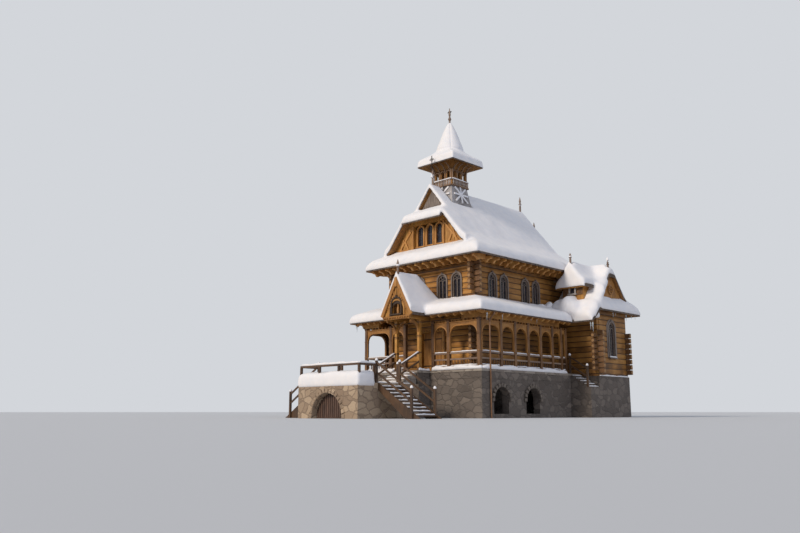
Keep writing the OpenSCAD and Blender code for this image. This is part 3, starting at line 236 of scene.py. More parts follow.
def make_timber(name, codes, stretch=None, rough=0.55):
    """Larch: grain noise and slow blotches added up, from a dark to a light colour. stretch lays the grain in
    Object coordinates, and without it the grain runs along U."""
    made, tree, shader = new_material(name, Roughness=rough, IOR=1.48)
    place = place_in(tree, "Object" if stretch else "UV")
    laid = stretched(tree, place, stretch or (1.0, 14.0, 1.0))
    grain = noise(tree, laid, 2.2, 6.0, roughness=0.62, distortion=0.5)
    shade = maths(tree, "ADD", grain, noise(tree, place, 0.9, 2.0))
    colour = ramp(tree, rescaled(tree, shade, 0.65, 1.35), codes)
    dress(tree, shader, colour, grain, 0.35, 0.004)
    return made


# Sheltered timber in three directions: the door, gables and beams are the brightest wood.
honey_z = make_timber("upright_larch", HONEY, ALONG_Z)
honey_x = make_timber("cross_larch", HONEY, ALONG_X)
honey_y = make_timber("long_larch", HONEY, ALONG_Y)
# Silver grey frames and rails draw thin cool lines over the warm logs.
grey_z = make_timber("upright_grey_larch", GREY, ALONG_Z)
grey_x = make_timber("cross_grey_larch", GREY, ALONG_X)
# Tarred boards and brown posts give the arcade its dark bars; the posts' brown is partly painted shade,
# so that they stand dark against the lit walls.
brown_y = make_timber("tarred_boards", BROWN, ALONG_Y)
brown_z = make_timber("upright_brown_larch", BROWN, ALONG_Z)
# The arches are between honey and brown, so that they stand out from the posts under them.
arch_z = make_timber("sawn_larch_arches", ("#5A3A1A", "#94662F", "#B08048"), ALONG_Z)
# Wet stairs are the darkest wood, and lift the snow on their treads.
stair_z = make_timber("wet_stair_larch", ("#2A1D14", "#4E3724", "#6E5138"), ALONG_Z)
# Rime turns the turret's skirt nearly to the colour of the snow.
rime = make_timber("rimed_boards", ("#6E6764", "#989291", "#C6C3C4"), (9.0, 9.0, 1.0), 0.7)
print("timber grain:", round(1000 / (2.2 * 14)), "mm wide and", round(1000 / 2.2), "mm long")

# %% [markdown]
# ## Stone
# The base is rubble: split field stones of 250 to 450 mm in lime mortar, with dressed blocks under the porch
# floor. A cell pattern gives each stone its own shade, and the distance to the cell's edge gives the joint.
# The pattern is warped a little first, because no two field stones are alike.

# %% Stone
def make_stone(name, shades, joint_colour, size=0.38, squash=1.5):
    """Masonry: cells of a given size in metres, laid flat by squash, with a shade for each. Mortar fades in
    from 9 % of the size before a cell's edge and is full at 1 %."""
    made, tree, shader = new_material(name, Roughness=0.85, IOR=1.5)
    place = place_in(tree)
    warp = node(tree, "ShaderNodeTexNoise", [("Vector", place)], scale=3.5, detail=3.0).outputs["Color"]
    laid = stretched(tree, place, (1.0, 1.0, squash))
    uneven = node(tree, "ShaderNodeMix", [("A", laid), ("B", warp), ("Factor", 0.22)], data_type="VECTOR",
                  factor_mode="UNIFORM").outputs["Result"]
    cell, edge = (node(tree, "ShaderNodeTexVoronoi", [("Vector", uneven)], scale=1 / size, feature=kind)
                  for kind in ("F1", "DISTANCE_TO_EDGE"))
    tone = node(tree, "ShaderNodeSeparateColor", [("Color", cell.outputs["Color"])]).outputs["Red"]
    grit = noise(tree, place, 22.0, 6.0, roughness=0.65)
    stone = mixed(tree, 0.45, ramp(tree, tone, shades), grit, blend_type="MULTIPLY")
    mask = rescaled(tree, edge.outputs["Distance"], 0.01, 0.09)
    colour = mixed(tree, mask, linear(joint_colour), stone)
    dress(tree, shader, colour, maths(tree, "MULTIPLY_ADD", grit, 0.4, mask), 0.7, 0.03)
    return made


# The base is a cool dark band that carries the building.
rubble = make_stone("split_field_stone", ("#60564F", "#736860", "#85796F"), "#5A524C")
# Painted light: the terrace is the base's field stone painted paler and warmer, as if lit, and comes forward.
sunlit = make_stone("field_stone_painted_light", ("#9A836E", "#B39B82", "#C9B196"), "#84715F")
# Large dressed blocks make a calm edge where people walk.
dressed = make_stone("dressed_sandstone", ("#8F8378", "#B5AA9E"), "#7A6F66", 0.6, 1.6)
print("stones about", round(0.38 * 1000), "by", round(0.38 / 1.5 * 1000), "mm")

# %% [markdown]
# ## Glass, shingles and metal
# The windows are old leaded glass over a dark interior. The roofs are split larch shingles with a boarded
# underside, told apart by the way a face looks. The downpipe is painted sheet. Glass and paint, like iron
# or ice further down, need no more than two close tones and a fine relief, which one function gives.

# %% Glass, shingles and metal
def speckled(name, codes, scale, strength=0.0, distance=0.001, detail=4.0, reach=0.15, **values):
    """A plain finish with two tones and a fine relief from one noise. scale is cells per metre, and the tones
    meet between 0.5 - reach and 0.5 + reach of the noise."""
    made, tree, shader = new_material(name, **values)
    cloud = noise(tree, place_in(tree), scale, detail)
    colour = ramp(tree, cloud, codes, 0.5 - reach, 0.5 + reach)
    dress(tree, shader, colour, cloud, strength, distance)
    return made


def make_shingles():
    """Split shingles about 140 mm wide on top and sawn boards below: where a face looks down more than 0.3
    of its normal, the boards show."""
    made, tree, shader = new_material("split_larch_shingles", Roughness=0.75, IOR=1.48)
    place = place_in(tree)
    normal = node(tree, "ShaderNodeNewGeometry").outputs["True Normal"]
    upward = node(tree, "ShaderNodeSeparateXYZ", [("Vector", normal)]).outputs["Z"]
    tile = node(tree, "ShaderNodeTexVoronoi", [("Vector", place)], scale=7.0).outputs["Color"]
    tone = node(tree, "ShaderNodeSeparateColor", [("Color", tile)]).outputs["Red"]
    top = ramp(tree, tone, ("#3B3029", "#6A5A4C"))
    grain = noise(tree, stretched(tree, place, (8.0, 8.0, 1.0)), 2.0, 4.0)
    under = ramp(tree, grain, ("#6E4B26", "#AB7A40"), 0.3, 0.7)
    colour = mixed(tree, maths(tree, "GREATER_THAN", upward, -0.3), under, top)
    dress(tree, shader, colour, grain, 0.4, 0.01)
    return made


# Shingles show as thin dark edges under the snow, and as warm boards where one looks up into the eaves.
shingles = make_shingles()
# Painted shade: dark panes stand for the unlit room behind them, and with a slight wave make the windows
# read as deep.
glass = speckled("leaded_glass", ("#24232B", "#3D3A44"), 9.0, 0.25, 0.01, 1.0, Roughness=0.12, IOR=1.52)
# The downpipe is a thin upright line in the colour of the posts.
pipe_paint = speckled("painted_sheet", ("#6B4A30", "#86603F"), 6.0, detail=2.0, reach=0.2, Roughness=0.4,
                      IOR=1.5)
print("materials so far:", len(bpy.data.materials))

# %% [markdown]
# ## A finish for each solid
# Every solid of the CAD model gets one of the finishes above. The long timbers of a node nearly all run one
# way, so a node takes the finish whose grain runs that way too.

# %% Give each CAD node its finish
FINISH = {
    rubble: ["foundation", "porch_plinth", "side_stairs"],
    sunlit: ["terrace"],
    dressed: ["porch_floor", "entrance_stair"],
    log_x: ["front_wall_left", "front_wall_right", "front_wall_upper", "nave_back_wall"],
    log_y: ["nave_wall_left", "nave_wall_right", "wing_walls_left", "wing_walls_right", "chancel_walls"],
    honey_z: ["door_frame", "door_leaf_left", "door_leaf_right", "entrance_posts", "entrance_gable",
              "front_gable", "wing_gables", "dormers"],
    honey_x: ["rafters"],
    honey_y: ["porch_beams"],
    brown_z: ["porch_posts", "corner_logs"],
    stair_z: ["handrails", "terrace_flights"],
    grey_x: ["porch_rails"],
    arch_z: ["porch_arches", "belfry"],
    rime: ["turret_base"],
    grey_z: ["pinnacles", "window_frames"],
    brown_y: ["room_floor"],
    shingles: ["porch_roof", "entrance_roof", "main_roof", "turret_cap", "rear_roofs"],
    snow: ["porch_snow", "main_roof_snow", "turret_snow", "rear_snow", "terrace_snow"],
    glass: ["window_glass"],
    pipe_paint: ["downpipe"],
}
for finish, names in FINISH.items():
    for name in names:
        nodes[name].data.materials.clear()
        nodes[name].data.materials.append(finish)
print("finished nodes:", sum(len(names) for names in FINISH.values()))

# %% [markdown]
# ## Finishes for the small parts
# Planed and turned parts use the grain map that is laid along them. Sheltered trim keeps its oil, casings
# have weathered to silver, and the turret's small parts are frosted. Iron, lead, bronze and ice are small
# touches, so two tones and a fine relief do for them.

# %% Finishes for the small parts
# Trim in the shade of the porch: a little darker than the boards beside it, so that its edges show.
warm = make_timber("oiled_larch_mouldings", ("#5C3A18", "#9C6A30", "#BD8A4C"))
# Faded wood of the belfry, between honey and silver.
warm_grey = make_timber("faded_larch", ("#4A372A", "#7C6049", "#9B7D60"))
# Silver casings frame each window in a cool line.
grey_board = make_timber("silvered_larch", ("#453B35", "#756860", "#94877D"))
# Painted shade: blocks and balusters are painted dark, as the shaded rails and the posts' dark outlines
# against the lit walls, and give the arcade its rhythm.
arcade_wood = make_timber("larch_painted_shade", ("#3A2718", "#6B4A2C", "#8A6440"))
# Painted shade: the gate's slats are painted nearly as dark as the shaded opening of the arch behind them.
gate_wood = make_timber("slats_painted_shade", ("#2B201A", "#50392D", "#705445"))
# Treads have gone grey and brown under boots.
plank_wood = make_timber("stair_planks", ("#2F2620", "#54463B", "#75665A"))
# Painted light: the brightest wood, as if lit, draws the eye to rafter noses, braces and gable windows.
honey_bars = make_timber("larch_painted_light", ("#74481A", "#B98243", "#D3A564"))
# The gable's boards lie a step behind them.
gold_board = make_timber("sunny_boards", ("#6A451D", "#A87638", "#C3954F"))
# Frost makes the smallest parts of turret and dormers pale.
frosted = make_timber("frosted_larch", ("#7D7672", "#ABA5A2", "#D5D3D3"), rough=0.7)
# Oak pegs are dark dots, and the niche behind its figure is painted as dark, as painted shade in its recess.
dark_oak_and_niche_shade = make_timber("oak_pegs_and_niche_shade", ("#20140C", "#37230F", "#4B3218"))
# Grey wedges ring the vents.
arch_stone = speckled("arch_stone", ("#564D46", "#776C62"), 9.0, 0.6, 0.012, Roughness=0.85, IOR=1.5)
# Sawn ends are pale and dull against the oiled sides.
end_grain = speckled("sawn_end_grain", ("#86623D", "#B08A5E"), 26.0, 0.3, 0.004, Roughness=0.75, IOR=1.48)
# Wrought iron is nearly black with a soft sheen.
wrought = speckled("wrought_iron", ("#26221F", "#45403B"), 30.0, 0.4, 0.003, Metallic=1.0, Roughness=0.5)
# Lead cames part the panes with dull grey lines.
lead_came = speckled("lead_cames", ("#2B2C30", "#4A4B50"), 40.0, 0.2, 0.002, Metallic=1.0, Roughness=0.55)
# The bell glints a little in the dark of the belfry.
bronze = speckled("bell_bronze", ("#4A3A22", "#6E5630"), 12.0, 0.2, 0.003, Metallic=1.0, Roughness=0.4)
# Icicles are clear and catch the light along their edge.
ice = speckled("clear_ice", ("#C9D3DA", "#E2E8EC"), 8.0, 0.3, 0.01, Roughness=0.12, IOR=1.31,
               Transmission_Weight=0.5)
print("materials in all:", len(bpy.data.materials))

# %% [markdown]
# ## Pieces
# Every new piece is worked out as arrays of points and faces. One helper puts such arrays into the scene,
# merges doubled points, turns the faces outwards, names the body the piece moves with and gives it its
# finish. A chamfer takes off the sharp edges, as a plane or a few winters would.

# %% Put a piece in the scene
def put(name, shape, paint, body="building", smooth=False, chamfer=0.0):
    """A mesh object from (points, faces, grain), riding on a body. grain becomes the UV map."""
    points, faces, grain = shape
    blocks = faces if isinstance(faces, list) else [faces]
    mesh = bpy.data.meshes.new(name)
    mesh.from_pydata(points.tolist(), [], [row for block in blocks for row in block.tolist()])
    corners = np.concatenate([block.ravel() for block in blocks])
    mesh.uv_layers.new(name="grain").data.foreach_set("uv", grain[corners].ravel())
    work = bmesh.new()
    work.from_mesh(mesh)
    bmesh.ops.remove_doubles(work, verts=work.verts, dist=0.0002)
    bmesh.ops.recalc_face_normals(work, faces=work.faces)
    work.to_mesh(mesh)
    work.free()
    if smooth:
        mesh.shade_smooth()
    else:
        mesh.shade_flat()
    mesh.materials.append(paint)
    made = bpy.data.objects.new(name, mesh)
    bpy.context.collection.objects.link(made)
    if chamfer:
        edge = made.modifiers.new("chamfer", "BEVEL")
        edge.width = chamfer
        edge.segments = 1
        edge.limit_method = "ANGLE"
    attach(made, body)
    print(name, "faces:", len(mesh.polygons))


# %% [markdown]
# ## Timber cut to length
# A carpenter's stock comes in few forms. The first is squared timber, cut to length. One function works on
# whole arrays, so that a hundred boards cost one call. It lays the grain along the length, starting at
# another spot on every board. Two short ones are for what stands and what lies.

# %% Timber cut to length
DEPTH_Y, NEARLY_Y = (0, 1, 0), (0, 1, 0.001)


def at(x, y, z):
    """Points as rows of (x, y, z). A coordinate may be one number for them all."""
    return np.stack(np.broadcast_arrays(x, y, z), -1).astype(float)


def rows_of(points):
    """Points as an array with a row for each, also when only one is given."""
    return np.atleast_2d(np.asarray(points, float))


def beams(starts, ends, wide, deep, up=(0, 0, 1), seed=1):
    """Boxes from p to q: each corner is p or q, plus or minus wide / 2 across and deep / 2 along up.
    The grain runs along U in metres. Returns points, faces and grain."""
    p, q = rows_of(starts), rows_of(ends)
    count = len(p)
    length = np.linalg.norm(q - p, axis=1)
    run = (q - p) / length[:, None]
    side = np.cross(run, np.broadcast_to(np.asarray(up, float), p.shape))
    side /= np.linalg.norm(side, axis=1)[:, None]
    lift = np.cross(side, run)
    half = np.broadcast_to(np.asarray(wide, float) / 2, count)[:, None, None]
    rise = np.broadcast_to(np.asarray(deep, float) / 2, count)[:, None, None]
    mark = np.array([[-1, -1], [1, -1], [1, 1], [-1, 1]])[None]
    section = mark[..., :1] * half * side[:, None] + mark[..., 1:] * rise * lift[:, None]
    points = np.concatenate([p[:, None] + section, q[:, None] + section], 1)
    quads = np.array([[0, 3, 2, 1], [4, 5, 6, 7], [0, 1, 5, 4], [1, 2, 6, 5], [2, 3, 7, 6], [3, 0, 4, 7]])
    faces = quads[None] + 8 * np.arange(count)[:, None, None]
    shift = np.random.default_rng(seed).uniform(0, 40, (count, 1, 2))
    along = np.stack([np.zeros((count, 4)), np.repeat(length[:, None], 4, 1)], 1).reshape(count, 8)
    across = np.tile(np.array([0, 0.15, 0.3, 0.45]), (count, 2))
    grain = np.stack([along, across], 2) + shift
    return points.reshape(-1, 3), faces.reshape(-1, 4), grain.reshape(-1, 2)


def upright(x, y, low, high, wide, deep, seed=1):
    """Posts or boards from low to high, wide along X and deep along Y."""
    return beams(at(x, y, low), at(x, y, high), wide, deep, DEPTH_Y, seed)


def crossbar(reach, y, z, wide, deep):
    """Level timbers from -reach to reach across the middle, wide along Y and deep along Z."""
    return beams(at(np.negative(reach), y, z), at(reach, y, z), wide, deep)


print("points of one beam:", len(upright(0, 0, 0, 1, 0.1, 0.1)[0]))

# %% [markdown]
# ## Mouldings
# The second form is a moulding: a profile run along a line, straight or bent, and closed at both ends.

# %% Mouldings
def tube(points):
    """Quads between neighbouring rings of points. The array runs over tubes, rings and points of a ring."""
    index = np.arange(points.size // 3).reshape(points.shape[:3])
    turned = np.roll(index, -1, axis=2)
    return np.stack([index[:, :-1], index[:, 1:], turned[:, 1:], turned[:, :-1]], 3).reshape(-1, 4), index


def carry(profile, paths, out=(0, -1, 0)):
    """A closed profile (a, b) carried along paths: path + a * (out x tangent) + b * out. The path lies in a
    plane square to out. Returns points, faces and grain."""
    paths = np.asarray(paths, float)
    paths = paths[None] if paths.ndim == 2 else paths
    profile = np.asarray(profile, float)
    tangent = np.gradient(paths, axis=1)
    tangent /= np.linalg.norm(tangent, axis=2)[..., None]
    out = np.broadcast_to(np.asarray(out, float), paths.shape)
    side = np.cross(out, tangent)
    points = (paths[:, :, None] + profile[None, None, :, :1] * side[:, :, None]
              + profile[None, None, :, 1:] * out[:, :, None])
    count, _, sides = points.shape[:3]
    skin, index = tube(points)
    caps = index[:, [0, -1]].reshape(-1, sides)
    step = np.linalg.norm(np.diff(paths, axis=1), axis=2)
    along = np.concatenate([np.zeros((count, 1)), step.cumsum(1)], 1) + 7.3 * np.arange(count)[:, None]
    grain = np.stack(np.broadcast_arrays(along[:, :, None], 0.1 * np.arange(sides)[None, None]), 3)
    return points.reshape(-1, 3), [skin, caps], grain.reshape(-1, 2)


bend = carry([(0, 0), (0.1, 0), (0, 0.1)], [(0, 0, 0), (0, 0, 1), (1, 0, 1)])
print("points of a three-sided moulding round one bend:", len(bend[0]))

# %% [markdown]
# ## Turned work and ridges of snow
# The third form is work turned on a lathe: balusters, columns, a bell, even an icicle. The fourth is snow
# lying on a rail, as wide as the rail and rounded, which swells and sinks a little along its length.

# %% Turned work and ridges of snow
def lathe(profile, places, scale=(1, 1), sides=12, axis=2):
    """A profile (radius, height) turned about an axis through each place. scale is (radius, height)."""
    places = rows_of(places)
    profile = np.asarray(profile, float)[None] * np.broadcast_to(scale, (len(places), 2))[:, None]
    turn = np.linspace(0, 2 * np.pi, sides, endpoint=False)
    radius, height = profile[:, :, None, 0], profile[:, :, None, 1]
    circle = np.stack(np.broadcast_arrays(radius * np.cos(turn), radius * np.sin(turn), height), 3)
    points = np.roll(circle, axis + 1, axis=3) + places[:, None, None]
    return points.reshape(-1, 3), tube(points)[0], points.reshape(-1, 3)[:, [2, 0]]


def ridges(starts, ends, wide, high, seed=1, steps=26, around=9):
    """Snow lying on a rail or a ledge: half an ellipse over the line from p to q, its height varied by
    slow waves, and drawn in to a point at both ends. Returns points, faces and grain."""
    p, q = rows_of(starts), rows_of(ends)
    count = len(p)
    side = np.cross(q - p, (0, 0, 1))
    side /= np.linalg.norm(side, axis=1)[:, None]
    s = np.linspace(0, 1, steps)
    spine = p[:, None] + (q - p)[:, None] * s[None, :, None]
    phase = np.random.default_rng(seed).uniform(0, 6.28, (count, 1, 3))
    travel = (s[None, :, None] * np.linalg.norm(q - p, axis=1)[:, None, None])
    wave = np.sin(travel * (2 * np.pi / np.array([1.7, 0.73, 0.31])) + phase) @ np.array([0.16, 0.1, 0.07])
    taper = np.sqrt(np.clip(1 - np.abs(2 * s - 1) ** 14, 0, 1))[None]
    angle = np.linspace(0, np.pi, around)
    flat = np.sign(np.cos(angle)) * np.abs(np.cos(angle)) ** 0.75
    wide = np.broadcast_to(np.asarray(wide, float), count)[:, None] / 2 * taper * (1 + 0.35 * wave)
    high = np.broadcast_to(np.asarray(high, float), count)[:, None] * taper * (1 + wave)
    points = spine[:, :, None] + (wide[:, :, None] * flat)[..., None] * side[:, None, None]
    points[..., 2] += high[:, :, None] * np.sin(angle) ** 0.7
    return points.reshape(-1, 3), tube(points)[0], points.reshape(-1, 3)[:, :2]


roll = ridges((0, 0, 0), (3, 0, 0), 0.1, 0.08)[0]
print("a roll of snow 80 mm high on 3 m of rail rises to", roll[:, 2].max().round(3), "m")

# %% [markdown]
# ## Mirroring, joining and outlines
# The building is the same left and right of its ridge, so one side is worked out and mirrored. Parts that
# repeat are made once at the origin and turned to their wall. Round-headed openings are everywhere, and all
# come from one outline.

# %% Mirroring, joining and outlines
def both(points):
    """Points and their mirror images in the ridge plane."""
    points = rows_of(points)
    return np.concatenate([points, points * (-1, 1, 1)])


def join(*shapes):
    """Several (points, faces, grain) as one."""
    points, faces, grain, first = [], [], [], 0
    for one_points, one_faces, one_grain in shapes:
        points.append(one_points)
        grain.append(one_grain)
        blocks = one_faces if isinstance(one_faces, list) else [one_faces]
        faces += [block + first for block in blocks]
        first += len(one_points)
    return np.concatenate(points), faces, np.concatenate(grain)


def moved(points, angle, place):
    """Points turned about the vertical by an angle in degrees and then shifted."""
    c, s = math.cos(math.radians(angle)), math.sin(math.radians(angle))
    return points @ np.array([[c, s, 0], [-s, c, 0], [0, 0, 1]]) + place


def turned_to(shape, angle, place=(0, 0, 0)):
    """A shape turned about the vertical by an angle in degrees and then shifted."""
    return moved(shape[0], angle, place), shape[1], shape[2]


def flipped(shape):
    """A shape together with its mirror image in the ridge plane."""
    return join(shape, (shape[0] * (-1, 1, 1), shape[1], shape[2]))


def arch(width, spring, steps=14):
    """Outline of a round-headed opening from foot to foot in X and Z: upright sides up to the spring, then
    a half circle. The foot's middle is the origin."""
    turn = np.linspace(np.pi, 0, steps)
    head = at(width / 2 * np.cos(turn), 0, spring + width / 2 * np.sin(turn))
    return np.concatenate([[[-width / 2, 0, 0]], head, [[width / 2, 0, 0]]])


def ring(radius, steps=24):
    """A closed circle in X and Z about the origin, its first point given again at the end."""
    turn = np.linspace(0, 2 * np.pi, steps + 1)
    return at(radius * np.cos(turn), 0, radius * np.sin(turn))


def box_profile(a, b):
    """A rectangle of a by b about the origin."""
    return [(-a / 2, -b / 2), (a / 2, -b / 2), (a / 2, b / 2), (-a / 2, b / 2)]


print("crown of an arch 0.6 m wide with its spring at 1 m:", arch(0.6, 1.0)[:, 2].max().round(3))

# %% [markdown]
# ## Meshes and wind for the snow
# A blanket of snow is made from the meshes of solids and of drifted banks. Three functions serve it: one
# gathers meshes, one takes what an object's modifiers make of it, and one gives the low waves that wind
# leaves.

# %% Meshes and wind for the snow
def stacked(names, bank=None):
    """One object that holds the meshes of several nodes and any bank of snow, merged point by point."""
    shape = bmesh.new()
    for name in names:
        shape.from_mesh(nodes[name].data)
    bmesh.ops.remove_doubles(shape, verts=shape.verts, dist=0.0005)
    if bank:
        heap = bpy.data.meshes.new("heap")
        heap.from_pydata(bank[0].tolist(), [], bank[1].tolist())
        shape.from_mesh(heap)
        bmesh.ops.remove_doubles(shape, verts=shape.verts, dist=0.0002)
        bmesh.ops.recalc_face_normals(shape, faces=shape.faces)
    mesh = bpy.data.meshes.new("stack")
    shape.to_mesh(mesh)
    shape.free()
    made = bpy.data.objects.new("stack", mesh)
    bpy.context.collection.objects.link(made)
    return made


def baked(piece):
    """The mesh that an object's modifiers make, as a new mesh."""
    bpy.context.view_layer.update()
    return bpy.data.meshes.new_from_object(piece.evaluated_get(bpy.context.evaluated_depsgraph_get()))


def drifts(points, seed, waves=14):
    """Wind relief between about -1 and 1: a sum of sine waves of 0.5 to 2.6 m in seeded directions."""
    dice = np.random.default_rng(seed)
    span = dice.uniform(0.5, 2.6, waves)
    way = dice.normal(size=(waves, 3)) * (1, 1, 0.6)
    way *= (2 * np.pi / span / np.linalg.norm(way, axis=1))[:, None]
    height = np.sin(points @ way.T + dice.uniform(0, 6.28, waves)) * span
    return height.sum(1) / span.sum() * 2.2


relief = drifts(at(np.linspace(0, 12, 200), 0, 0), 3)
print("wind relief along 12 m:", relief.min().round(2), "to", relief.max().round(2))

# %% [markdown]
# ## How a blanket of snow is made
# Snow that has settled for days rounds every edge it lies over and rolls forward at the eaves. The solids
# only give its thickness. Here a copy of each is rebuilt from even cells, relaxed where it is free and held
# where it lies on a roof or leans on a wall, and then given its waves. The main roof's blanket is the first
# and the plainest.

# %% The blanket of the main roof
def relaxed(rough, support, cell, rounds):
    """The mesh of an object rebuilt in cells and smoothed for some rounds. Points within 0.3 cells of the
    support are held, and from 3 cells away they are free."""
    rough.modifiers.new("cells", "REMESH").voxel_size = cell
    rough.modifiers["cells"].mode = "VOXEL"
    piece = bpy.data.objects.new("relaxing", baked(rough))
    bpy.context.collection.objects.link(piece)
    piece.vertex_groups.new(name="free").add(range(len(piece.data.vertices)), 1.0, "REPLACE")
    near = piece.modifiers.new("near", "VERTEX_WEIGHT_PROXIMITY")
    near.vertex_group = "free"
    near.target = support
    near.proximity_mode = "GEOMETRY"
    near.proximity_geometry = {"FACE"}
    near.min_dist = 0.3 * cell
    near.max_dist = 3.0 * cell
    relax = piece.modifiers.new("relax", "SMOOTH")
    relax.vertex_group = "free"
    relax.factor = 0.5
    relax.iterations = rounds
    mesh = baked(piece)
    bpy.data.objects.remove(piece)
    return mesh


def blanket(node_name, held_by, cell, rounds, relief, seed, bank=None, settle=None):
    """Settled snow: the node's solid and any bank of drifted snow, relaxed away from what holds them, with
    wind relief along the normals of what faces up. settle moves the finished points."""
    rough, support = stacked([node_name], bank), stacked(held_by)
    mesh = relaxed(rough, support, cell, rounds)
    points, normals = np.empty((2, len(mesh.vertices) * 3))
    mesh.vertices.foreach_get("co", points)
    mesh.vertices.foreach_get("normal", normals)
    points, normals = points.reshape(-1, 3), normals.reshape(-1, 3)
    top = np.clip(normals[:, 2:] * 2, 0, 1)
    points += normals * top * drifts(points, seed)[:, None] * relief
    if settle:
        points = settle(points)
    mesh.vertices.foreach_set("co", points.ravel())
    mesh.shade_smooth()
    mesh.materials.clear()
    mesh.materials.append(snow)
    piece = bpy.data.objects.new(node_name + "_blanket", mesh)
    bpy.context.collection.objects.link(piece)
    for helper in (rough, support):
        bpy.data.objects.remove(helper)
    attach(piece, "building")
    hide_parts(node_name)
    print(piece.name, "faces:", len(mesh.polygons))


blanket("main_roof_snow", ["main_roof", "turret_base"], 0.06, 34, 0.02, 3)

# %% [markdown]
# ## Snow that has slid
# On the arcade's roof small clumps lie in the corner by the wings, where snow has slid off. Between the
# dormer and the wing it has slid down in a thick bank. Heaps are added there before the blanket is relaxed,
# and they melt into it.

# %% Snow that has slid
clumps = ridges(both([(3.15, 0.45, 5.75), (3.2, 0.95, 5.75), (3.5, 1.2, 5.6)]),
                both([(3.2, 0.8, 5.75), (3.3, 1.4, 5.75), (3.9, 1.4, 5.5)]),
                [0.4, 0.6, 0.6] * 2, [0.42, 0.62, 0.5] * 2, 8)
walls = ["front_wall_upper", "nave_wall_left", "nave_wall_right"]
blanket("porch_snow", ["porch_roof", "entrance_roof", *walls], 0.05, 30, 0.02, 5, bank=clumps)

tails = [(3.0, 1.85, 5.6), (4.6, 1.75, 5.5), (5.2, 3.6, 7.5), (5.2, 2.9, 6.9), (5.2, 3.4, 7.3)]
heads = [(5.1, 1.85, 5.6), (5.95, 1.8, 5.3), (5.25, 2.0, 6.0), (5.25, 1.4, 5.3), (5.3, 2.3, 6.35)]
slide = ridges(both(tails), both(heads), [1.9, 1.3, 1.3, 1.6, 0.8] * 2, [0.93, 0.55, 0.5, 0.6, 0.6] * 2, 6)
blanket("rear_snow", ["rear_roofs", "main_roof", "dormers"], 0.06, 90, 0.02, 7, bank=slide)

# %% [markdown]
# ## Snow on the turret and the terrace
# The turret's cap is four-sided, but snow on it has nearly rounded to a cone that climbs up the finial, and
# its rim sinks over the eave. On the terrace the snow stands like a cut loaf: it draws in at its top and its
# foot and swells in between.

# %% Snow on the turret and the terrace
TURRET_Y = -3.35
EAVE_Z = 14.45
TERRACE_Y, TERRACE_REACH = -10.25, (2.15, 2.0)


def cap_rim(points):
    """Snow on the turret: its rim sinks 130 mm round the eave, and above the eave the four-sided cone swells
    towards a round one and climbs 280 mm up the finial."""
    centre = np.array([0, TURRET_Y])
    flat = points[:, :2] - centre
    reach = np.abs(flat).max(1)
    rim = np.clip((reach - 1.1) / 0.2, 0, 1) * np.clip((EAVE_Z - points[:, 2]) / 0.3, 0, 1)
    shaped = points.copy()
    shaped[:, :2] = centre + flat * (1 + 0.03 * rim)[:, None]
    shaped[:, 2] -= 0.13 * rim
    climb = np.clip((points[:, 2] - EAVE_Z - 0.05) / 1.4, 0, 1)
    round_radius = 1.16 * reach + 0.12 * np.sin(np.pi * climb) ** 0.7
    factor = round_radius / np.maximum(np.linalg.norm(flat, axis=1), 0.02)
    share = np.clip(climb * 3, 0, 1)[:, None]
    shaped[:, :2] = shaped[:, :2] * (1 - share) + (centre + flat * factor[:, None]) * share
    shaped[:, 2] += 0.28 * climb ** 2
    return shaped


def slumped(points):
    """Snow on the terrace draws in a little towards its top and foot and swells in between."""
    centre = np.array([0, TERRACE_Y])
    flat = points[:, :2] - centre
    share = (points[:, 2] - points[:, 2].min()) / np.ptp(points[:, 2])
    edge = np.clip(np.abs(flat / TERRACE_REACH).max(1) * 4 - 3, 0, 1)
    draw = (0.01 + 0.05 * np.abs(2 * share - 0.8) ** 2.5 + 0.014 * (1 + drifts(points, 12))) * edge
    shaped = points.copy()
    shaped[:, :2] = centre + flat * (1 - draw / 2)[:, None]
    shaped[:, 2] += (0.03 * drifts(points * 1.6, 13) - 0.03 * edge) * np.clip(share * 2 - 1, 0, 1)
    return shaped


blanket("turret_snow", ["turret_cap"], 0.035, 30, 0.012, 9, settle=cap_rim)
blanket("terrace_snow", ["terrace"], 0.045, 70, 0.02, 11, settle=slumped)

# %% [markdown]
# ## Snow on rails and ledges
# Snow stays on every rail, tread, sill and post. On the ledge outside the arcade it lies a hand high, on the
# rails it is a soft roll. These are ridges, laid wherever the solids leave a level or gently sloping line.

# %% Snow on the arcade
POST_X, POST_Y = 4.05, -6.0
FRONT_POSTS = [1.0, 2.05, 4.0]
SIDE_POSTS = [POST_Y, -4.4, -3.23, -2.09, -0.96, 0.13, 1.0, 1.45]
FRONT_BAYS = list(zip(FRONT_POSTS[:-1], FRONT_POSTS[1:]))
SIDE_BAYS = list(zip(SIDE_POSTS[:-1], SIDE_POSTS[1:]))
POST_HALF = 0.08
LEDGE_X, LEDGE_Y, LEDGE_Z = 4.21, -6.17, FLOOR - 0.01
BASE_Z = 2.23
FOOT_RAIL, HAND_RAIL = 0.2, 0.87


def snow_ridges(name, rows, seed):
    """Ridges of snow from rows of (start, end, width, height), with their mirror images. A row that
    starts on the middle line starts 300 mm beyond it instead, so that the two halves run into each other."""
    starts, ends, wide, high = (np.array(column, float) for column in zip(*rows))
    starts[starts[:, 0] == 0, 0] = -0.3
    shape = ridges(both(starts), both(ends), np.tile(wide, 2), np.tile(high, 2), seed)
    put(name, shape, snow, smooth=True)


def rail_rows(heights, wide, high):
    """Ridge rows on the arcade's rails, bay by bay, at heights above the porch floor."""
    rows = []
    for z in (FLOOR + height for height in heights):
        rows += [((a + POST_HALF, POST_Y, z), (b - POST_HALF, POST_Y, z), wide, high) for a, b in FRONT_BAYS]
        rows += [((POST_X, a + POST_HALF, z), (POST_X, b - POST_HALF, z), wide, high) for a, b in SIDE_BAYS]
    return rows


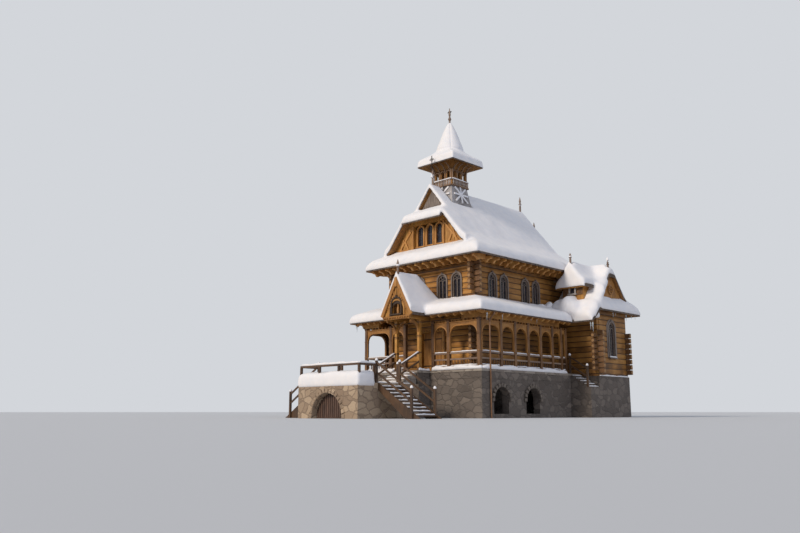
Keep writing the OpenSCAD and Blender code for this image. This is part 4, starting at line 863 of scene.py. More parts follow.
ledge = [((LEDGE_X, -6.3, LEDGE_Z), (LEDGE_X, 1.42, LEDGE_Z), 0.3, 0.21),
         ((1.0, LEDGE_Y, LEDGE_Z), (4.34, LEDGE_Y, LEDGE_Z), 0.3, 0.2),
         ((0.97, -7.08, LEDGE_Z), (0.97, -6.28, LEDGE_Z), 0.1, 0.12),
         ((5.5, 2.46, BASE_Z), (5.5, 5.74, BASE_Z), 0.11, 0.07),
         ((2.64, 7.44, BASE_Z), (-2.64, 7.44, BASE_Z), 0.11, 0.07),
         ((2.64, 5.74, BASE_Z), (2.64, 7.44, BASE_Z), 0.11, 0.07)]
snow_ridges("ledge_snow", ledge + rail_rows([FOOT_RAIL, HAND_RAIL], 0.095, 0.05), 21)

# %% [markdown]
# ## Snow on the stairs
# Every tread carries a strip that stops short of the strings, and every newel wears a small cap. The side
# stairs are blocks of steps in the solids, so each step gets a board with a nosing, as the builder would lay.

# %% Snow and boards on the stairs
DECK = 1.59
rows = [((0.0, -12.08, 2.45), (2.08, -12.08, 2.45), 0.1, 0.09),
        ((2.05, -12.1, 2.45), (2.05, -11.08, 2.45), 0.1, 0.09),
        ((0.85, -6.95, 3.285), (0.85, -8.36, 2.55), 0.085, 0.05)]
for i in range(1, 10):
    x, z = 2.07 + (i - 0.42) * 0.261, DECK - 0.159 * i
    rows.append(((x, -10.93, z), (x, -9.61, z), 0.17, 0.06))
for i in range(1, 6):
    x, z = 4.28 + (i - 0.5) * 0.25, FLOOR + 0.03 - 0.15 * i
    rows.append(((x, 1.52, z), (x, 2.44, z), 0.17, 0.06))
for i in range(1, 5):
    y, z = -7.09 - (i - 0.5) * 0.3025, FLOOR - 0.152 * i
    rows.append(((0.0, y, z), (0.78, y, z), 0.27, 0.06))
snow_ridges("stair_snow", rows, 23)

cap = [(0, 0), (0.066, 0), (0.071, 0.03), (0.06, 0.08), (0.035, 0.115), (0, 0.13)]
tops = [(2.05, -11.02, 2.585), (2.05, -9.52, 2.585), (4.25, -11.02, 1.305), (4.25, -9.52, 1.305),
        (0.85, -8.45, 2.585), (5.35, 1.5, 2.745), (4.29, 1.5, 3.345)]
put("newel_snow", lathe(cap, both(tops), sides=14), snow, smooth=True)

step = np.arange(1, 6)
x, z = 4.3 + (step - 0.5) * 0.25, FLOOR + 0.018 - 0.15 * step
treads = beams(at(x, 1.43, z), at(x, 2.45, z), 0.27, 0.036, seed=24)
put("side_treads", flipped(treads), plank_wood, chamfer=0.006)

# %% [markdown]
# ## Windows
# Each window is a round-headed light in a cut frame. Outside it has a planed casing with a keystone and a
# sill. Inside the frame stand a mullion that forks into two small arches, a ring over them, and lead cames
# over the glass. All windows are one shape in a few sizes, turned to the wall they belong to.

# %% Windows
FRONT_Y, SIDE_X, WING_X = -5.0, 2.95, 5.46
PANE_Y, CAME = 0.052, 0.012


def window(width, height):
    """Casing, tracery and cames of one window, its wall in the plane y = 0 and its foot's middle at 0."""
    spring = height - width / 2
    casing = carry(box_profile(0.085, 0.07), arch(width + 0.07, spring) + (0, -0.055, 0))
    sill = crossbar(width / 2 + 0.11, -0.075, -0.035, 0.14, 0.07)
    key = upright(0, -0.07, height - 0.01, height + 0.13, 0.11, 0.07)
    small = (width - 0.1) / 2
    foot = spring - small / 2 + 0.02
    rod = box_profile(0.026, 0.04)
    tracery = [carry(box_profile(0.04, 0.05), arch(width - 0.1, spring) + (0, 0.005, 0))]
    tracery += [carry(rod, arch(small - 0.02, foot, 10) + (x, 0.01, 0)) for x in (-small / 2, small / 2)]
    tracery.append(carry(rod, ring(small * 0.36, 16) + (0, 0.01, height - small * 0.62)))
    tracery.append(upright(0, 0.01, 0, foot + 0.03, 0.04, 0.045))
    lying = crossbar(width / 2 - 0.07, PANE_Y, np.arange(0.2, spring, 0.17), CAME, CAME)
    standing = upright([-width * 0.2, width * 0.2], PANE_Y, 0.03, spring + width * 0.3, CAME, CAME)
    return join(casing, sill, key), join(*tracery), join(lying, standing)


tall, wing_place = (0.6, 1.34), (WING_X, 3.99, 3.3)
NAVE_SILL, CHANCEL_SILL = 6.1, 4.3
windows = [(*tall, 0, (x, FRONT_Y, NAVE_SILL)) for x in (0.8, 1.8)]
windows += [(*tall, 90, (SIDE_X, y, NAVE_SILL)) for y in (-3.58, -2.58, -0.66, 0.34)]
windows += [(0.62, 1.95, 90, wing_place), (*tall, 90, (2.6, 6.55, CHANCEL_SILL)),
            (*tall, 180, (0.9, 7.4, CHANCEL_SILL))]
casings, traceries, cames, sills = [], [], [], []
for width, height, angle, place in windows:
    wood, bars, lead = (turned_to(part, angle, place) for part in window(width, height))
    casings.append(wood)
    traceries.append(bars)
    cames.append(lead)
    reach = width / 2 + 0.09
    ends = moved(np.array([(-reach, -0.085, -0.005), (reach, -0.085, -0.005)]), angle, place)
    sills.append((ends[0], ends[1], 0.12, 0.07))
casings.append(turned_to(carry(box_profile(0.13, 0.04), arch(0.9, 1.64) + (0, -0.03, 0)), 90, wing_place))
put("window_casings", flipped(join(*casings)), grey_board, chamfer=0.008)
put("window_tracery", flipped(join(*traceries)), grey_board)
put("window_cames", flipped(join(*cames)), lead_came)
snow_ridges("sill_snow", sills, 25)

# %% [markdown]
# ## Log ends
# At the corners every log runs past its neighbour and shows its sawn end. The ends are paler than the
# weathered sides, so each gets a plate of end grain with a bevelled rim.

# %% Log ends
def ends_of(rows):
    """Middles of log ends from rows of (x, y, lowest z, number of courses)."""
    return np.concatenate([at(x, y, low + COURSE * np.arange(n)) for x, y, low, n in rows])


face = np.array([(0, 0), (0.084, 0), (0.078, -0.012), (0, -0.016)])
front = ends_of([(5.36, 2.17, 2.65, 7), (2.85, -5.33, 2.65, 7), (2.85, -5.33, 6.55, 5)])
back = ends_of([(2.5, 7.73, 2.65, 13), (5.36, 6.03, 2.65, 7)])
side = ends_of([(5.79, 2.6, 2.5, 8), (5.79, 5.6, 2.5, 8), (3.28, -4.9, 2.5, 8), (3.28, -4.9, 6.4, 6),
                (2.93, 7.3, 2.5, 14)])
sideways = turned_to(lathe(face, side[:, [1, 0, 2]] * (1, -1, 1), sides=16, axis=1), 90)
plates = join(sideways, lathe(face, front, sides=16, axis=1), lathe(face * (1, -1), back, sides=16, axis=1))
put("log_ends", flipped(plates), end_grain)

# %% [markdown]
# ## Entrance door
# Two leaves of upright planks with wrought straps hang in a framed portal. Dark oak pegs hold the frame's
# corners and its planted mouldings. The planks and straps ride with their leaves, so they swing with them.

# %% Door planks, straps and portal pegs
LEAF_Y, PORTAL_Y = -4.867, -5.07
edges = np.linspace(0.014, 0.736, 8)
button = [(0, 0), (0.03, 0), (0.03, 0.002), (0.012, 0.004), (0, 0.004)]
for way, body in ((1, "door_right"), (-1, "door_left")):
    middles = way * (edges[:-1] + edges[1:]) / 2
    planks = upright(middles, LEAF_Y + 0.0035, FLOOR + 0.02, FLOOR + 2.08, 0.098, 0.007, 31)
    put(body + "_planks", planks, warm, body, chamfer=0.003)
    ends = at(way * 0.72, LEAF_Y - 0.0015, FLOOR + np.array([0.34, 1.74]))
    straps = beams(ends, ends - (way * 0.6, 0, 0), 0.003, 0.06)
    knob = lathe(button, (way * 0.07, LEAF_Y - 0.004, FLOOR + 1.05), sides=16, axis=1)
    put(body + "_ironwork", join(straps, knob), wrought, body=body)

depth = [PORTAL_Y, PORTAL_Y, PORTAL_Y - 0.005]
trim = beams(at([-0.925, 0.925, -0.95], depth, FLOOR + np.array([0, 0, 2.28])),
             at([-0.925, 0.925, 0.95], depth, FLOOR + np.array([2.26, 2.26, 2.28])), 0.05, 0.04, NEARLY_Y)
put("portal_trim", trim, warm, chamfer=0.006)
pegs = np.concatenate([at(0.85, PORTAL_Y - 0.005, FLOOR + np.arange(0.25, 2.2, 0.32)),
                       at([0.1, 0.3, 0.5, 0.7], PORTAL_Y - 0.005, FLOOR + 2.19)])
peg = [(0, 0), (0.024, 0), (0.024, 0.02), (0, 0.02)]
put("portal_pegs", lathe(peg, both(pegs), sides=10, axis=1), dark_oak_and_niche_shade)

# %% [markdown]
# ## The arcade
# Above the hand rail each bay is a round-cornered arch cut from a board. A rounded moulding follows the cut,
# a plate lies over it, and short studs stand in the open frieze below the wall beam. Turned balusters fill
# the gap between foot rail and middle rail. Posts have a foot block and collars.

# %% Arcade
CORNER, CROWN = 0.48, 2.19


def bay_path(width):
    """Edge of a bay's opening from rail to rail, in X and Z about the bay's middle."""
    radius = min(width / 2, CORNER)
    turn = np.linspace(np.pi, np.pi / 2, 8)
    corner = at(radius * np.cos(turn) - width / 2 + radius, 0, CROWN - radius + radius * np.sin(turn))
    other = corner[::-1] * (-1, 1, 1)
    return np.concatenate([[(-width / 2, 0, HAND_RAIL)], corner, other[1 if width / 2 <= CORNER else 0:],
                           [(width / 2, 0, HAND_RAIL)]])


def spaced(width, pitch):
    """Even places across a bay about its middle, near a pitch apart and at least two."""
    count = max(2, round(width / pitch))
    return (np.arange(count) + 0.5) / count * width - width / 2


def bay(width):
    """Moulding, plate and studs of one bay whose opening is width wide."""
    edge = carry([(-0.03, -0.05), (0.0, -0.062), (0.035, -0.05), (0.035, 0.05), (0.0, 0.062), (-0.03, 0.05)],
                 bay_path(width - 0.02))
    plate = crossbar(width / 2, 0, 2.37, 0.13, 0.05)
    return join(edge, plate, upright(spaced(width, 0.24), 0, 2.39, 2.5, 0.07, 0.07))


mouldings, balusters = [], []
bays = [(a, b, 0, ((a + b) / 2, POST_Y, FLOOR)) for a, b in FRONT_BAYS]
bays += [(a, b, 90, (POST_X, (a + b) / 2, FLOOR)) for a, b in SIDE_BAYS]
for a, b, angle, place in bays:
    width = b - a - 2 * POST_HALF
    mouldings.append(turned_to(bay(width), angle, place))
    balusters.append(moved(at(spaced(width, 0.2), 0, FOOT_RAIL), angle, place))
put("arcade_mouldings", flipped(join(*mouldings)), warm, chamfer=0.006)
# Painted shade: the balusters and post blocks are dark, as the shaded rail zone of the arcade.
turning = [(0, 0), (0.034, 0), (0.034, 0.04), (0.018, 0.06), (0.032, 0.14), (0.018, 0.22), (0.034, 0.24),
           (0, 0.28)]
put("arcade_balusters", lathe(turning, both(np.concatenate(balusters)), sides=7), arcade_wood, smooth=True)

posts = [(x, POST_Y, 0) for x in FRONT_POSTS] + [(POST_X, y, 0) for y in SIDE_POSTS[1:]] + [(0.8, -6.85, 0)]
x, y, _ = both(posts).T
blocks = [upright(x, y, FLOOR + low, FLOOR + top, wide, wide, seed)
          for low, top, wide, seed in ((0, 0.13, 0.2, 41), (0.86, 0.93, 0.19, 42), (1.66, 1.70, 0.19, 43),
                                       (1.74, 1.78, 0.2, 44), (2.40, 2.47, 0.2, 45))]
put("post_blocks", join(*blocks), arcade_wood, chamfer=0.012)

# %% [markdown]
# ## Eaves
# Under the snow the rafters end in noses that the carpenter sawed to a double curve, and the porch has a row
# of smaller tails. Each is one board outline given a thickness, so the row costs little and reads as carved.

# %% Rafter noses
def sawn(outline, thick, places):
    """Boards with an outline in X and Z, thick in Y, one at each place: two outlines and the band between."""
    outline = np.asarray(outline, float)
    count = len(outline)
    flat = at(outline[:, 0], 0, outline[:, 1])
    one = np.concatenate([flat - (0, thick / 2, 0), flat + (0, thick / 2, 0)])
    places = rows_of(places)
    points = one[None] + places[:, None]
    turn = np.arange(count)
    caps = np.array([turn, (turn + count)[::-1]])
    band = np.stack([turn, turn + count, (turn + 1) % count + count, (turn + 1) % count], 1)
    offset = (2 * count * np.arange(len(places)))[:, None, None]
    grain = one[None, :, [2, 0]] + 3.1 * np.arange(len(places))[:, None, None]
    return (points.reshape(-1, 3), [(caps + offset).reshape(-1, count), (band + offset).reshape(-1, 4)],
            grain.reshape(-1, 2))


def row(start, stop, step):
    """Places along Y from start to stop at even steps."""
    return at(0, start + step * np.arange(int(round((stop - start) / step)) + 1), 0)


nose = [(0, 8.2), (0, 7.9), (0.4, 7.9), (0.5, 7.82), (0.6, 7.82), (0.68, 7.92), (0.76, 7.96), (0.86, 7.95),
        (0.96, 8.02), (0.96, 8.1)]
tail = [(4.1, 5.26), (4.1, 5.1), (4.36, 5.02), (4.45, 4.97), (4.52, 5.0), (4.58, 5.04), (4.6, 5.1)]
noses = [sawn(nose, 0.14, row(-4.7, 2.58, 0.56) + (SIDE_X, 0, 0)),
         turned_to(sawn(nose, 0.14, row(0.28, 3.64, 0.56)), 270, (0, FRONT_Y, 0)),
         sawn(tail, 0.1, row(-6.3, 1.2, 0.5)),
         turned_to(sawn(tail, 0.1, row(1.35, 3.85, 0.5)), 270, (0, -2.0, 0))]
# Painted light: the noses take the brightest honey, as if lit under the eaves.
put("rafter_noses", flipped(join(*noses)), honey_bars, chamfer=0.008)

# %% [markdown]
# ## Arched openings in the stone
# Each opening in the stonework is turned with stones set on end, which carry the load round it. They stand a
# little proud of the rubble. The opening under the terrace is shut by a slatted gate.

# %% Arch stones and cellar gate
def voussoirs(radius, spring, count):
    """Stones on end round a half circle in X and Z that starts at the spring."""
    angle = np.linspace(0, np.pi, count)
    way = at(np.cos(angle), 0, np.sin(angle))
    centre = np.array([0, 0, spring])
    return beams(centre + radius * way, centre + (radius + 0.2) * way, 0.92 * np.pi * radius / (count - 1),
                 0.09, DEPTH_Y, seed=count)


TERRACE_FACE, GATE_Y = -12.2, -11.9
ring_stones = turned_to(voussoirs(1.05, 0.1, 17), 0, (0, TERRACE_FACE, 0))
# Painted light: the arch stones share the terrace's paler, lit-looking stone.
put("terrace_arch_stones", ring_stones, sunlit, chamfer=0.02)
stones = [turned_to(voussoirs(0.6, 0.89, 11), 90 * way, (4.35 * way, y, 0)) for y in (-4.75, -2.1)
          for way in (1, -1)]
put("vent_arch_stones", join(*stones), arch_stone, chamfer=0.02)
x = np.arange(-0.98, 1.0, 0.14)
top = 0.08 + np.sqrt(np.clip(1.03 ** 2 - x ** 2, 0.01, None))
slats = upright(x, GATE_Y, 0.01, top, 0.11, 0.035, 35)
y, z = GATE_Y + 0.035, [0.3, 0.75]
rails = beams(at(-0.95, y, z), at([0.95, 0.7], y, z), 0.035, 0.1)
# Painted shade: the slats are dark like the shadow in the opening.
put("cellar_gate", join(slats, rails), gate_wood, chamfer=0.006)

# %% [markdown]
# ## Front gable
# The wide front gable is boarded and braced: posts, rails and slanting braces stand proud of the boards on
# both sides of the three set-back windows. Turned half columns part the windows. Snow has drifted onto the
# sill below them, and the small top of the gable is boarded in weathered grey.

# %% Front gable
GABLE_LINE, GABLE_FALL = 12.28, 1.28
GABLE_LIGHTS, LIGHT_Z = (-0.68, 0.0, 0.68), 9.2
GABLE_Y, LIGHTS_Y = -5.2, -5.05


def front_bars(rows, y, wide, deep, seed):
    """Timbers near a plane y, from rows of (x0, z0, x1, z1). Neighbours differ by 4 mm, so that no two faces
    lie in one plane where they cross."""
    rows = np.array(rows, float)
    depth = y - 0.004 * (np.arange(len(rows)) % 5)
    starts, ends = at(rows[:, 0], depth, rows[:, 1]), at(rows[:, 2], depth, rows[:, 3])
    return beams(starts, ends, wide, deep, DEPTH_Y, seed)


def trimmed(shape, top, fall, middle=0.0, axis=0):
    """A shape cut to a gable: no point stays above top - fall * its distance from the gable's middle."""
    points = shape[0].copy()
    points[:, 2] = np.minimum(points[:, 2], top - fall * np.abs(points[:, axis] - middle))
    return points, shape[1], shape[2]


def in_gable(shape, y):
    """A shape repeated at the gable's three windows."""
    return join(*[turned_to(shape, 0, (x, y, LIGHT_Z)) for x in GABLE_LIGHTS])


rows = [(x, 8.6, x, 10.36) for x in np.arange(1.15, 2.8, 0.155)]
boards = trimmed(front_bars(rows, GABLE_Y - 0.015, 0.145, 0.025, 51), GABLE_LINE, GABLE_FALL)
put("gable_boards", flipped(boards), gold_board, chamfer=0.004)
braces = [(0.0, 8.52, 2.95, 8.52), (1.12, 8.5, 1.12, 10.38), (1.24, 8.62, 1.72, 9.6), (1.8, 9.72, 2.24, 8.62),
          (1.5, 9.1, 2.05, 9.1), (1.2, 10.2, 2.5, 8.68)]
put("gable_bracing", flipped(front_bars(braces, GABLE_Y - 0.06, 0.1, 0.07, 52)), honey_bars, chamfer=0.01)
rows = [(x, 10.95, x, GABLE_LINE) for x in np.arange(0.07, 0.95, 0.14)]
boards = trimmed(front_bars(rows, -4.915, 0.13, 0.025, 53), GABLE_LINE - 0.02, GABLE_FALL)
put("apex_boards", flipped(boards), grey_board, chamfer=0.004)

half = [(0, 0), (0.075, 0), (0.075, 0.1), (0.05, 0.14), (0.05, 1.2), (0.08, 1.26), (0.08, 1.34), (0, 1.34)]
put("gable_columns", lathe(half, both([(0.34, -5.06, 8.87), (1.0, -5.06, 8.87)])), gold_board, smooth=True)
light, head = window(0.42, 1.1), arch(0.44, 0.89)
lining = carry(box_profile(0.03, 0.22), head + (0, 0.1, 0))
put("gable_casings", in_gable(join(light[0], lining), LIGHTS_Y), honey_bars)
put("gable_cames", in_gable(light[2], LIGHTS_Y - 0.05), lead_came)
panes = sawn(head[:, [0, 2]], 0.008, at(GABLE_LIGHTS, LIGHTS_Y + 0.02, LIGHT_Z))
put("gable_panes", panes, glass)
snow_ridges("gable_snow", [((0, -5.0, 8.87), (1.04, -5.0, 8.87), 0.3, 0.16),
                           ((0, -5.3, 8.57), (2.9, -5.3, 8.57), 0.16, 0.1)], 27)

# %% [markdown]
# ## Porch gable
# The little gable over the entrance carries a sunburst of boards round an arched niche with a plain turned
# figure. Below are a beam with a row of dentils and two pairs of curved braces. Each ray of the sunburst
# runs from the niche's ring until it meets the slanting edge of the gable.

# %% Porch gable
HOOD_Y, NICHE_Z = -7.64, 5.12
RING_Z, RING_RADIUS = 5.4, 0.56
EDGE_Z, EDGE_FALL = 6.9, 1.81
angle = np.radians(np.arange(8, 90, 11.5))
way = np.stack([np.cos(angle), np.sin(angle)])
near = RING_RADIUS * way + [[0], [RING_Z]]
length = (EDGE_Z - near[1] - EDGE_FALL * near[0]) / (way[1] + EDGE_FALL * way[0])
rays = np.concatenate([near, near + length * way]).T[length > 0.04]
put("porch_sunburst", flipped(front_bars(rays, HOOD_Y - 0.015, 0.1, 0.03, 55)), warm, chamfer=0.006)

hoop = carry(box_profile(0.09, 0.07), arch(1.06, 0.28) + (0, HOOD_Y - 0.025, NICHE_Z))
put("niche_casing", hoop, gold_board, chamfer=0.006)
field = carry(box_profile(0.17, 0.02), arch(0.85, 0.28) + (0, HOOD_Y - 0.005, NICHE_Z))
niche = turned_to(window(0.64, 0.82)[0], 0, (0, HOOD_Y, NICHE_Z + 0.09))
# Painted shade: the niche's back takes the dark oak, for the shade in the recess.
put("niche_field", join(niche, field), dark_oak_and_niche_shade)
figure = [(0, 0), (0.1, 0), (0.1, 0.05), (0.07, 0.07), (0.085, 0.25), (0.06, 0.38), (0.03, 0.41),
          (0.055, 0.47), (0.04, 0.53), (0, 0.55)]
put("niche_figure", lathe(figure, (0, HOOD_Y + 0.09, NICHE_Z + 0.08), sides=16), warm, smooth=True)

dentils = upright(np.arange(-0.9, 0.95, 0.12), HOOD_Y - 0.06, 4.97, 5.03, 0.06, 0.08)
lintel = crossbar([1.0, 0.9], [HOOD_Y - 0.02, HOOD_Y + 0.02], [5.07, 4.96], 0.09, 0.07)
put("porch_lintel", join(dentils, lintel), warm, chamfer=0.006)
sweep = np.linspace(0, np.pi / 2, 9)
inward, upward = 0.62 * (1 - np.cos(sweep)), 4.3 + 0.56 * np.sin(sweep)
stick = box_profile(0.1, 0.08)
braces = join(carry(stick, at(0.74 - inward, -6.85, upward)),
              carry(stick, at(0.8, -6.91 - inward, upward), (1, 0, 0)))
put("porch_braces", flipped(braces), warm, chamfer=0.008)
verge = beams((1.04, HOOD_Y - 0.06, 5.1), (0.03, HOOD_Y - 0.06, 6.93), 0.07, 0.2, seed=57)
plate = upright(0, HOOD_Y - 0.105, 6.6, 7.08, 0.18, 0.06, 58)
put("porch_verge", join(flipped(verge), plate), warm, chamfer=0.008)

# %% [markdown]
# ## Wing gables and dormers
# The wing gables are boarded upright round a carved rosette, a wheel of eight spokes that carpenters of the
# mountains have cut for centuries. Each dormer has one small arched light with its own casing and pane,
# between boards that are trimmed to its little roof.

# %% Wing gables and dormers
WING_Y, DORMER_X, DORMER_Y, DORMER_SILL = 4.1, 4.4, 1.93, 6.8
y = np.arange(3.05, 5.2, 0.15)
boards = beams(at(5.475, y, 6.5), at(5.475, y, 8.1), 0.14, 0.025, (1, 0, 0), 61)
put("wing_gable_boards", flipped(trimmed(boards, 8.1, 1.12, WING_Y, 1)), warm, chamfer=0.004)
turn = np.linspace(0, 2 * np.pi, 9)[:-1]
spokes = at(np.cos(turn), 0, np.sin(turn))
rosette = join(carry(box_profile(0.07, 0.06), ring(0.24)), carry(box_profile(0.035, 0.05), ring(0.09)),
               beams(0.1 * spokes, 0.22 * spokes, 0.035, 0.035, DEPTH_Y))
put("wing_rosettes", flipped(turned_to(rosette, 90, (5.53, WING_Y, 7.15))), warm)

casing = turned_to(window(0.3, 0.44)[0], 0, (DORMER_X, DORMER_Y, DORMER_SILL))
put("dormer_casings", flipped(casing), frosted)
pane = sawn(arch(0.3, 0.29)[:, [0, 2]], 0.01, (DORMER_X, DORMER_Y + 0.025, DORMER_SILL))
put("dormer_panes", flipped(pane), glass)
boards = [(x, 6.72 if abs(x - DORMER_X) > 0.26 else 7.32, x, 7.8) for x in np.arange(3.83, 5.0, 0.114)]
boards = trimmed(front_bars(boards, DORMER_Y + 0.005, 0.105, 0.025, 63), 7.78, 1.1, DORMER_X)
put("dormer_boards", flipped(boards), arcade_wood, chamfer=0.004)

# %% [markdown]
# ## The turret's skirt and railing
# The skirt under the belfry is boarded and carries a star of crossed braces on each face, white with rime.
# Its face is bell-cast, so the braces follow the slope. Above it a low row of balusters stands on the sill.
# One side is made and repeated on all four.

# %% The turret's skirt and railing
SILL, CAP = 12.68, 13.91
RAIL_Y, COLUMN_Y = -0.72, -0.665
QUARTERS = (0, 90, 180, 270)


def around_turret(shape):
    """A shape made for the turret's front, repeated on its four sides."""
    return join(*[turned_to(shape, angle, (0, TURRET_Y, 0)) for angle in QUARTERS])


def spots_around(points):
    """Places made for the turret's front, repeated on its four sides."""
    return np.concatenate([moved(points, angle, (0, TURRET_Y, 0)) for angle in QUARTERS])


def skirt_y(z):
    """Distance of the skirt's face from the turret's middle at a height: a bell-cast slope."""
    return -np.interp(z, [11.38, 11.88, SILL], [0.9, 0.78, 0.65])


star = []
for i, (x0, z0, x1, z1) in enumerate(((-0.5, 11.78, 0.46, 12.62), (-0.46, 12.62, 0.5, 11.78),
                                      (0, 11.7, 0, 12.66), (-0.58, 12.2, 0.58, 12.2))):
    out = 0.03 + 0.005 * i
    foot, head = (x0, skirt_y(z0) - out, z0), (x1, skirt_y(z1) - out, z1)
    star.append(beams(foot, head, 0.09, 0.06, NEARLY_Y))
put("turret_stars", around_turret(join(*star)), snow)
rails = join(crossbar(0.66, RAIL_Y, SILL + 0.33, 0.08, 0.05), crossbar(0.7, RAIL_Y, SILL + 0.02, 0.1, 0.06))
put("belfry_rails", around_turret(rails), warm_grey, chamfer=0.006)
stub = [(0, 0), (0.03, 0), (0.03, 0.03), (0.018, 0.06), (0.034, 0.14), (0.018, 0.22), (0.03, 0.26), (0, 0.26)]
stubs = spots_around(at(np.linspace(-0.6, 0.6, 11), RAIL_Y - 0.015, SILL + 0.05))
put("belfry_balusters", lathe(stub, stubs, sides=7), frosted, smooth=True)

# %% [markdown]
# ## The open belfry
# The open stage has turned columns, arched heads between them and quarter-round brackets under the wide cap.
# A small bell hangs from a beam inside. A roll of snow lies on the railing.

# %% The open belfry
shaft = [(0, 0), (0.055, 0), (0.055, 0.08), (0.035, 0.12), (0.035, 0.5), (0.055, 0.54), (0.055, 0.6),
         (0, 0.6)]
shafts = spots_around(at([-0.6, -0.2, 0.2, 0.6], COLUMN_Y, SILL + 0.36))
put("belfry_columns", lathe(shaft, shafts, sides=10), warm_grey, smooth=True)
heads = [carry(box_profile(0.04, 0.05), arch(0.24, 0.4)[1:-1] + (x, COLUMN_Y, SILL + 0.38))
         for x in (-0.4, 0.0, 0.4)]
put("belfry_heads", around_turret(join(*heads)), warm_grey)
sweep = np.linspace(0, np.pi / 2, 8)
quarters = [at(x, -0.69 - 0.42 * (1 - np.cos(sweep)), CAP - 0.42 + 0.42 * np.sin(sweep))
            for x in (-0.55, -0.2, 0.2, 0.55)]
put("cap_brackets", around_turret(carry(box_profile(0.06, 0.05), quarters, (1, 0, 0))), warm_grey)
put("bell_yoke", crossbar(0.55, TURRET_Y, CAP - 0.1, 0.1, 0.12), dark_oak_and_niche_shade)
bell = [(0, 0), (0.2, 0), (0.19, 0.02), (0.15, 0.1), (0.11, 0.22), (0.09, 0.3), (0.05, 0.34), (0, 0.35)]
put("bell", lathe(bell, (0, TURRET_Y, CAP - 0.5), sides=28), bronze, smooth=True)
rail_z, near_y, far_y = SILL + 0.35, TURRET_Y - 0.74, TURRET_Y + 0.74
snow_ridges("turret_sill_snow", [((0, near_y, rail_z), (0.72, near_y, rail_z), 0.11, 0.06),
                                 ((0.74, near_y + 0.02, rail_z), (0.74, far_y - 0.02, rail_z), 0.11, 0.06),
                                 ((0, far_y, rail_z), (0.72, far_y, rail_z), 0.11, 0.06)], 28)

# %% [markdown]
# ## Crosses, finial snow and icicles
# The two tall finials end in slender iron crosses. Snow sits on every finial like a cap, and icicles hang
# where meltwater runs off the porch corners and the wing eaves.

# %% Crosses, finial snow and icicles
crosses = []
for y, foot, top, arm in ((TURRET_Y, 16.95, 17.53, 0.15), (-4.91, 13.45, 14.3, 0.16)):
    level = top - 0.22
    crosses.append(beams([(0, y, foot), (-arm, y, level)], [(0, y, top), (arm, y, level)], 0.035, 0.03,
                         NEARLY_Y))
    crosses.append(turned_to(carry(box_profile(0.016, 0.016), ring(0.09)), 0, (0, y, level)))
put("roof_crosses", join(*crosses), wrought)

blob = [(0, -0.03), (0.06, -0.02), (0.085, 0.01), (0.08, 0.05), (0.055, 0.11), (0.03, 0.17), (0.012, 0.22),
        (0, 0.225)]
ridge_knobs = [(0, -4.91, 13.04), (0, 3.3, 13.04), (0, -7.59, 7.69), (0, 4.85, 11.6)]
knobs = np.concatenate([ridge_knobs, both([(4.4, 1.8, 8.86), (5.43, 4.1, 8.88)])])
put("finial_snow", lathe(blob, knobs, sides=16), snow, smooth=True)

dice = np.random.default_rng(71)
eaves = [((5.7, 1.36, 5.02), (5.95, 1.4, 4.99), 4), ((4.66, -6.5, 4.99), (4.66, 1.0, 4.99), 6),
         ((5.93, 2.2, 5.74), (5.93, 6.4, 5.74), 5)]
hang = both(np.concatenate([a + np.subtract(b, a) * dice.uniform(0, 1, (n, 1)) for a, b, n in eaves]))
size = np.concatenate([dice.uniform(0.3, 1, len(hang)) ** 2, [1.5, 1.1, 1.5, 1.1]])
hang = np.concatenate([hang, both([(5.9, 1.36, 5.06), (5.78, 1.33, 5.06)])])
icicle = [(0, 0), (0.5, 0), (0.42, -0.25), (0.26, -0.6), (0.1, -0.9), (0, -1)]
spread = np.stack([0.02 + 0.03 * size, 0.08 + 0.32 * size], 1)
put("icicles", lathe(icicle, hang, spread, sides=10), ice, smooth=True)

# %% [markdown]
# ## Stage and light
# A pale floor and a soft light like a photographer's studio. The floor is seen lighter than the light that it
# throws back, so the camera sees a calm pale ground and the snow's shadows keep their depth. A warm key lamp
# shines on the entrance side and a cool fill on the long side.

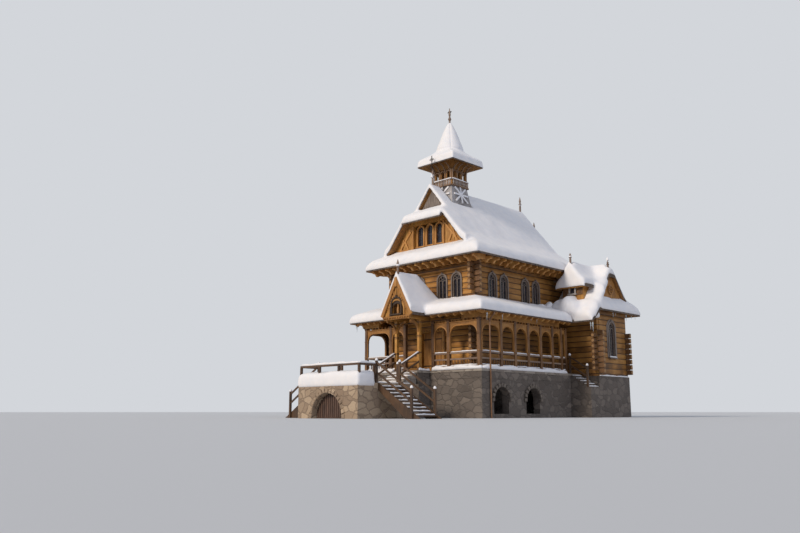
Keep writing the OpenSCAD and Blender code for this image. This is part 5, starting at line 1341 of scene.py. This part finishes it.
# %% Stage and light
def put_floor(radius=400, sides=64):
    """A round pale floor 2 mm below the object."""
    mesh = bpy.data.meshes.new("floor")
    turn = np.linspace(0, 2 * np.pi, sides, endpoint=False)
    points = at(radius * np.cos(turn), radius * np.sin(turn), -0.002)
    mesh.from_pydata(points.tolist(), [], [list(range(sides))])
    made = bpy.data.objects.new("floor", mesh)
    bpy.context.collection.objects.link(made)
    mesh.materials.append(new_material("pale_floor", Base_Color=linear("#C9CBCF"), Roughness=0.9)[0])


def add_sun(name, azimuth, height, strength, colour, spread):
    """A soft lamp that shines from an azimuth (0 is in front, 90 from the right) and a height in degrees."""
    lamp = bpy.data.lights.new(name, "SUN")
    lamp.energy = strength
    lamp.angle = math.radians(spread)
    lamp.color = linear(colour)[:3]
    made = bpy.data.objects.new(name, lamp)
    made.rotation_euler = (math.radians(90 - height), 0, math.radians(azimuth))
    bpy.context.collection.objects.link(made)


put_floor()
world = bpy.data.worlds.new("studio")
bpy.context.scene.world = world
world.use_nodes = True
sky = world.node_tree
rays = node(sky, "ShaderNodeLightPath").outputs
seen = maths(sky, "MAXIMUM", rays["Is Camera Ray"], rays["Is Glossy Ray"])
seen = maths(sky, "MAXIMUM", seen, rays["Is Transmission Ray"])
tint = mixed(sky, seen, linear("#8F959F"), linear("#D3D6DB"))
sky.links.new(tint, sky.nodes["Background"].inputs["Color"])
add_sun("key", -8, 30, 2.4, "#FFF3E2", 14)
add_sun("fill", 80, 35, 0.7, "#E6EEFF", 30)
print("lamps:", len(bpy.data.lights))

# %% [markdown]
# ## Camera
# The camera stands near the ground in front of the near corner, 45 degrees round from the entrance, and looks
# 11 degrees up, as a visitor on the slope below would look at the chapel.

# %% Camera
lens = bpy.data.cameras.new("camera")
lens.lens = 34.5
lens.sensor_width = 36
lens.clip_end = 1000
camera = bpy.data.objects.new("camera", lens)
camera.location = (27.402, -35.165, 0.314)
camera.rotation_euler = (math.radians(90 + 10.713), 0, math.radians(44.652))
bpy.context.collection.objects.link(camera)
bpy.context.scene.camera = camera
bpy.context.scene.view_settings.view_transform = "Standard"
print("camera distance:", round(math.dist(camera.location, (0, 0, 0)), 1), "m")
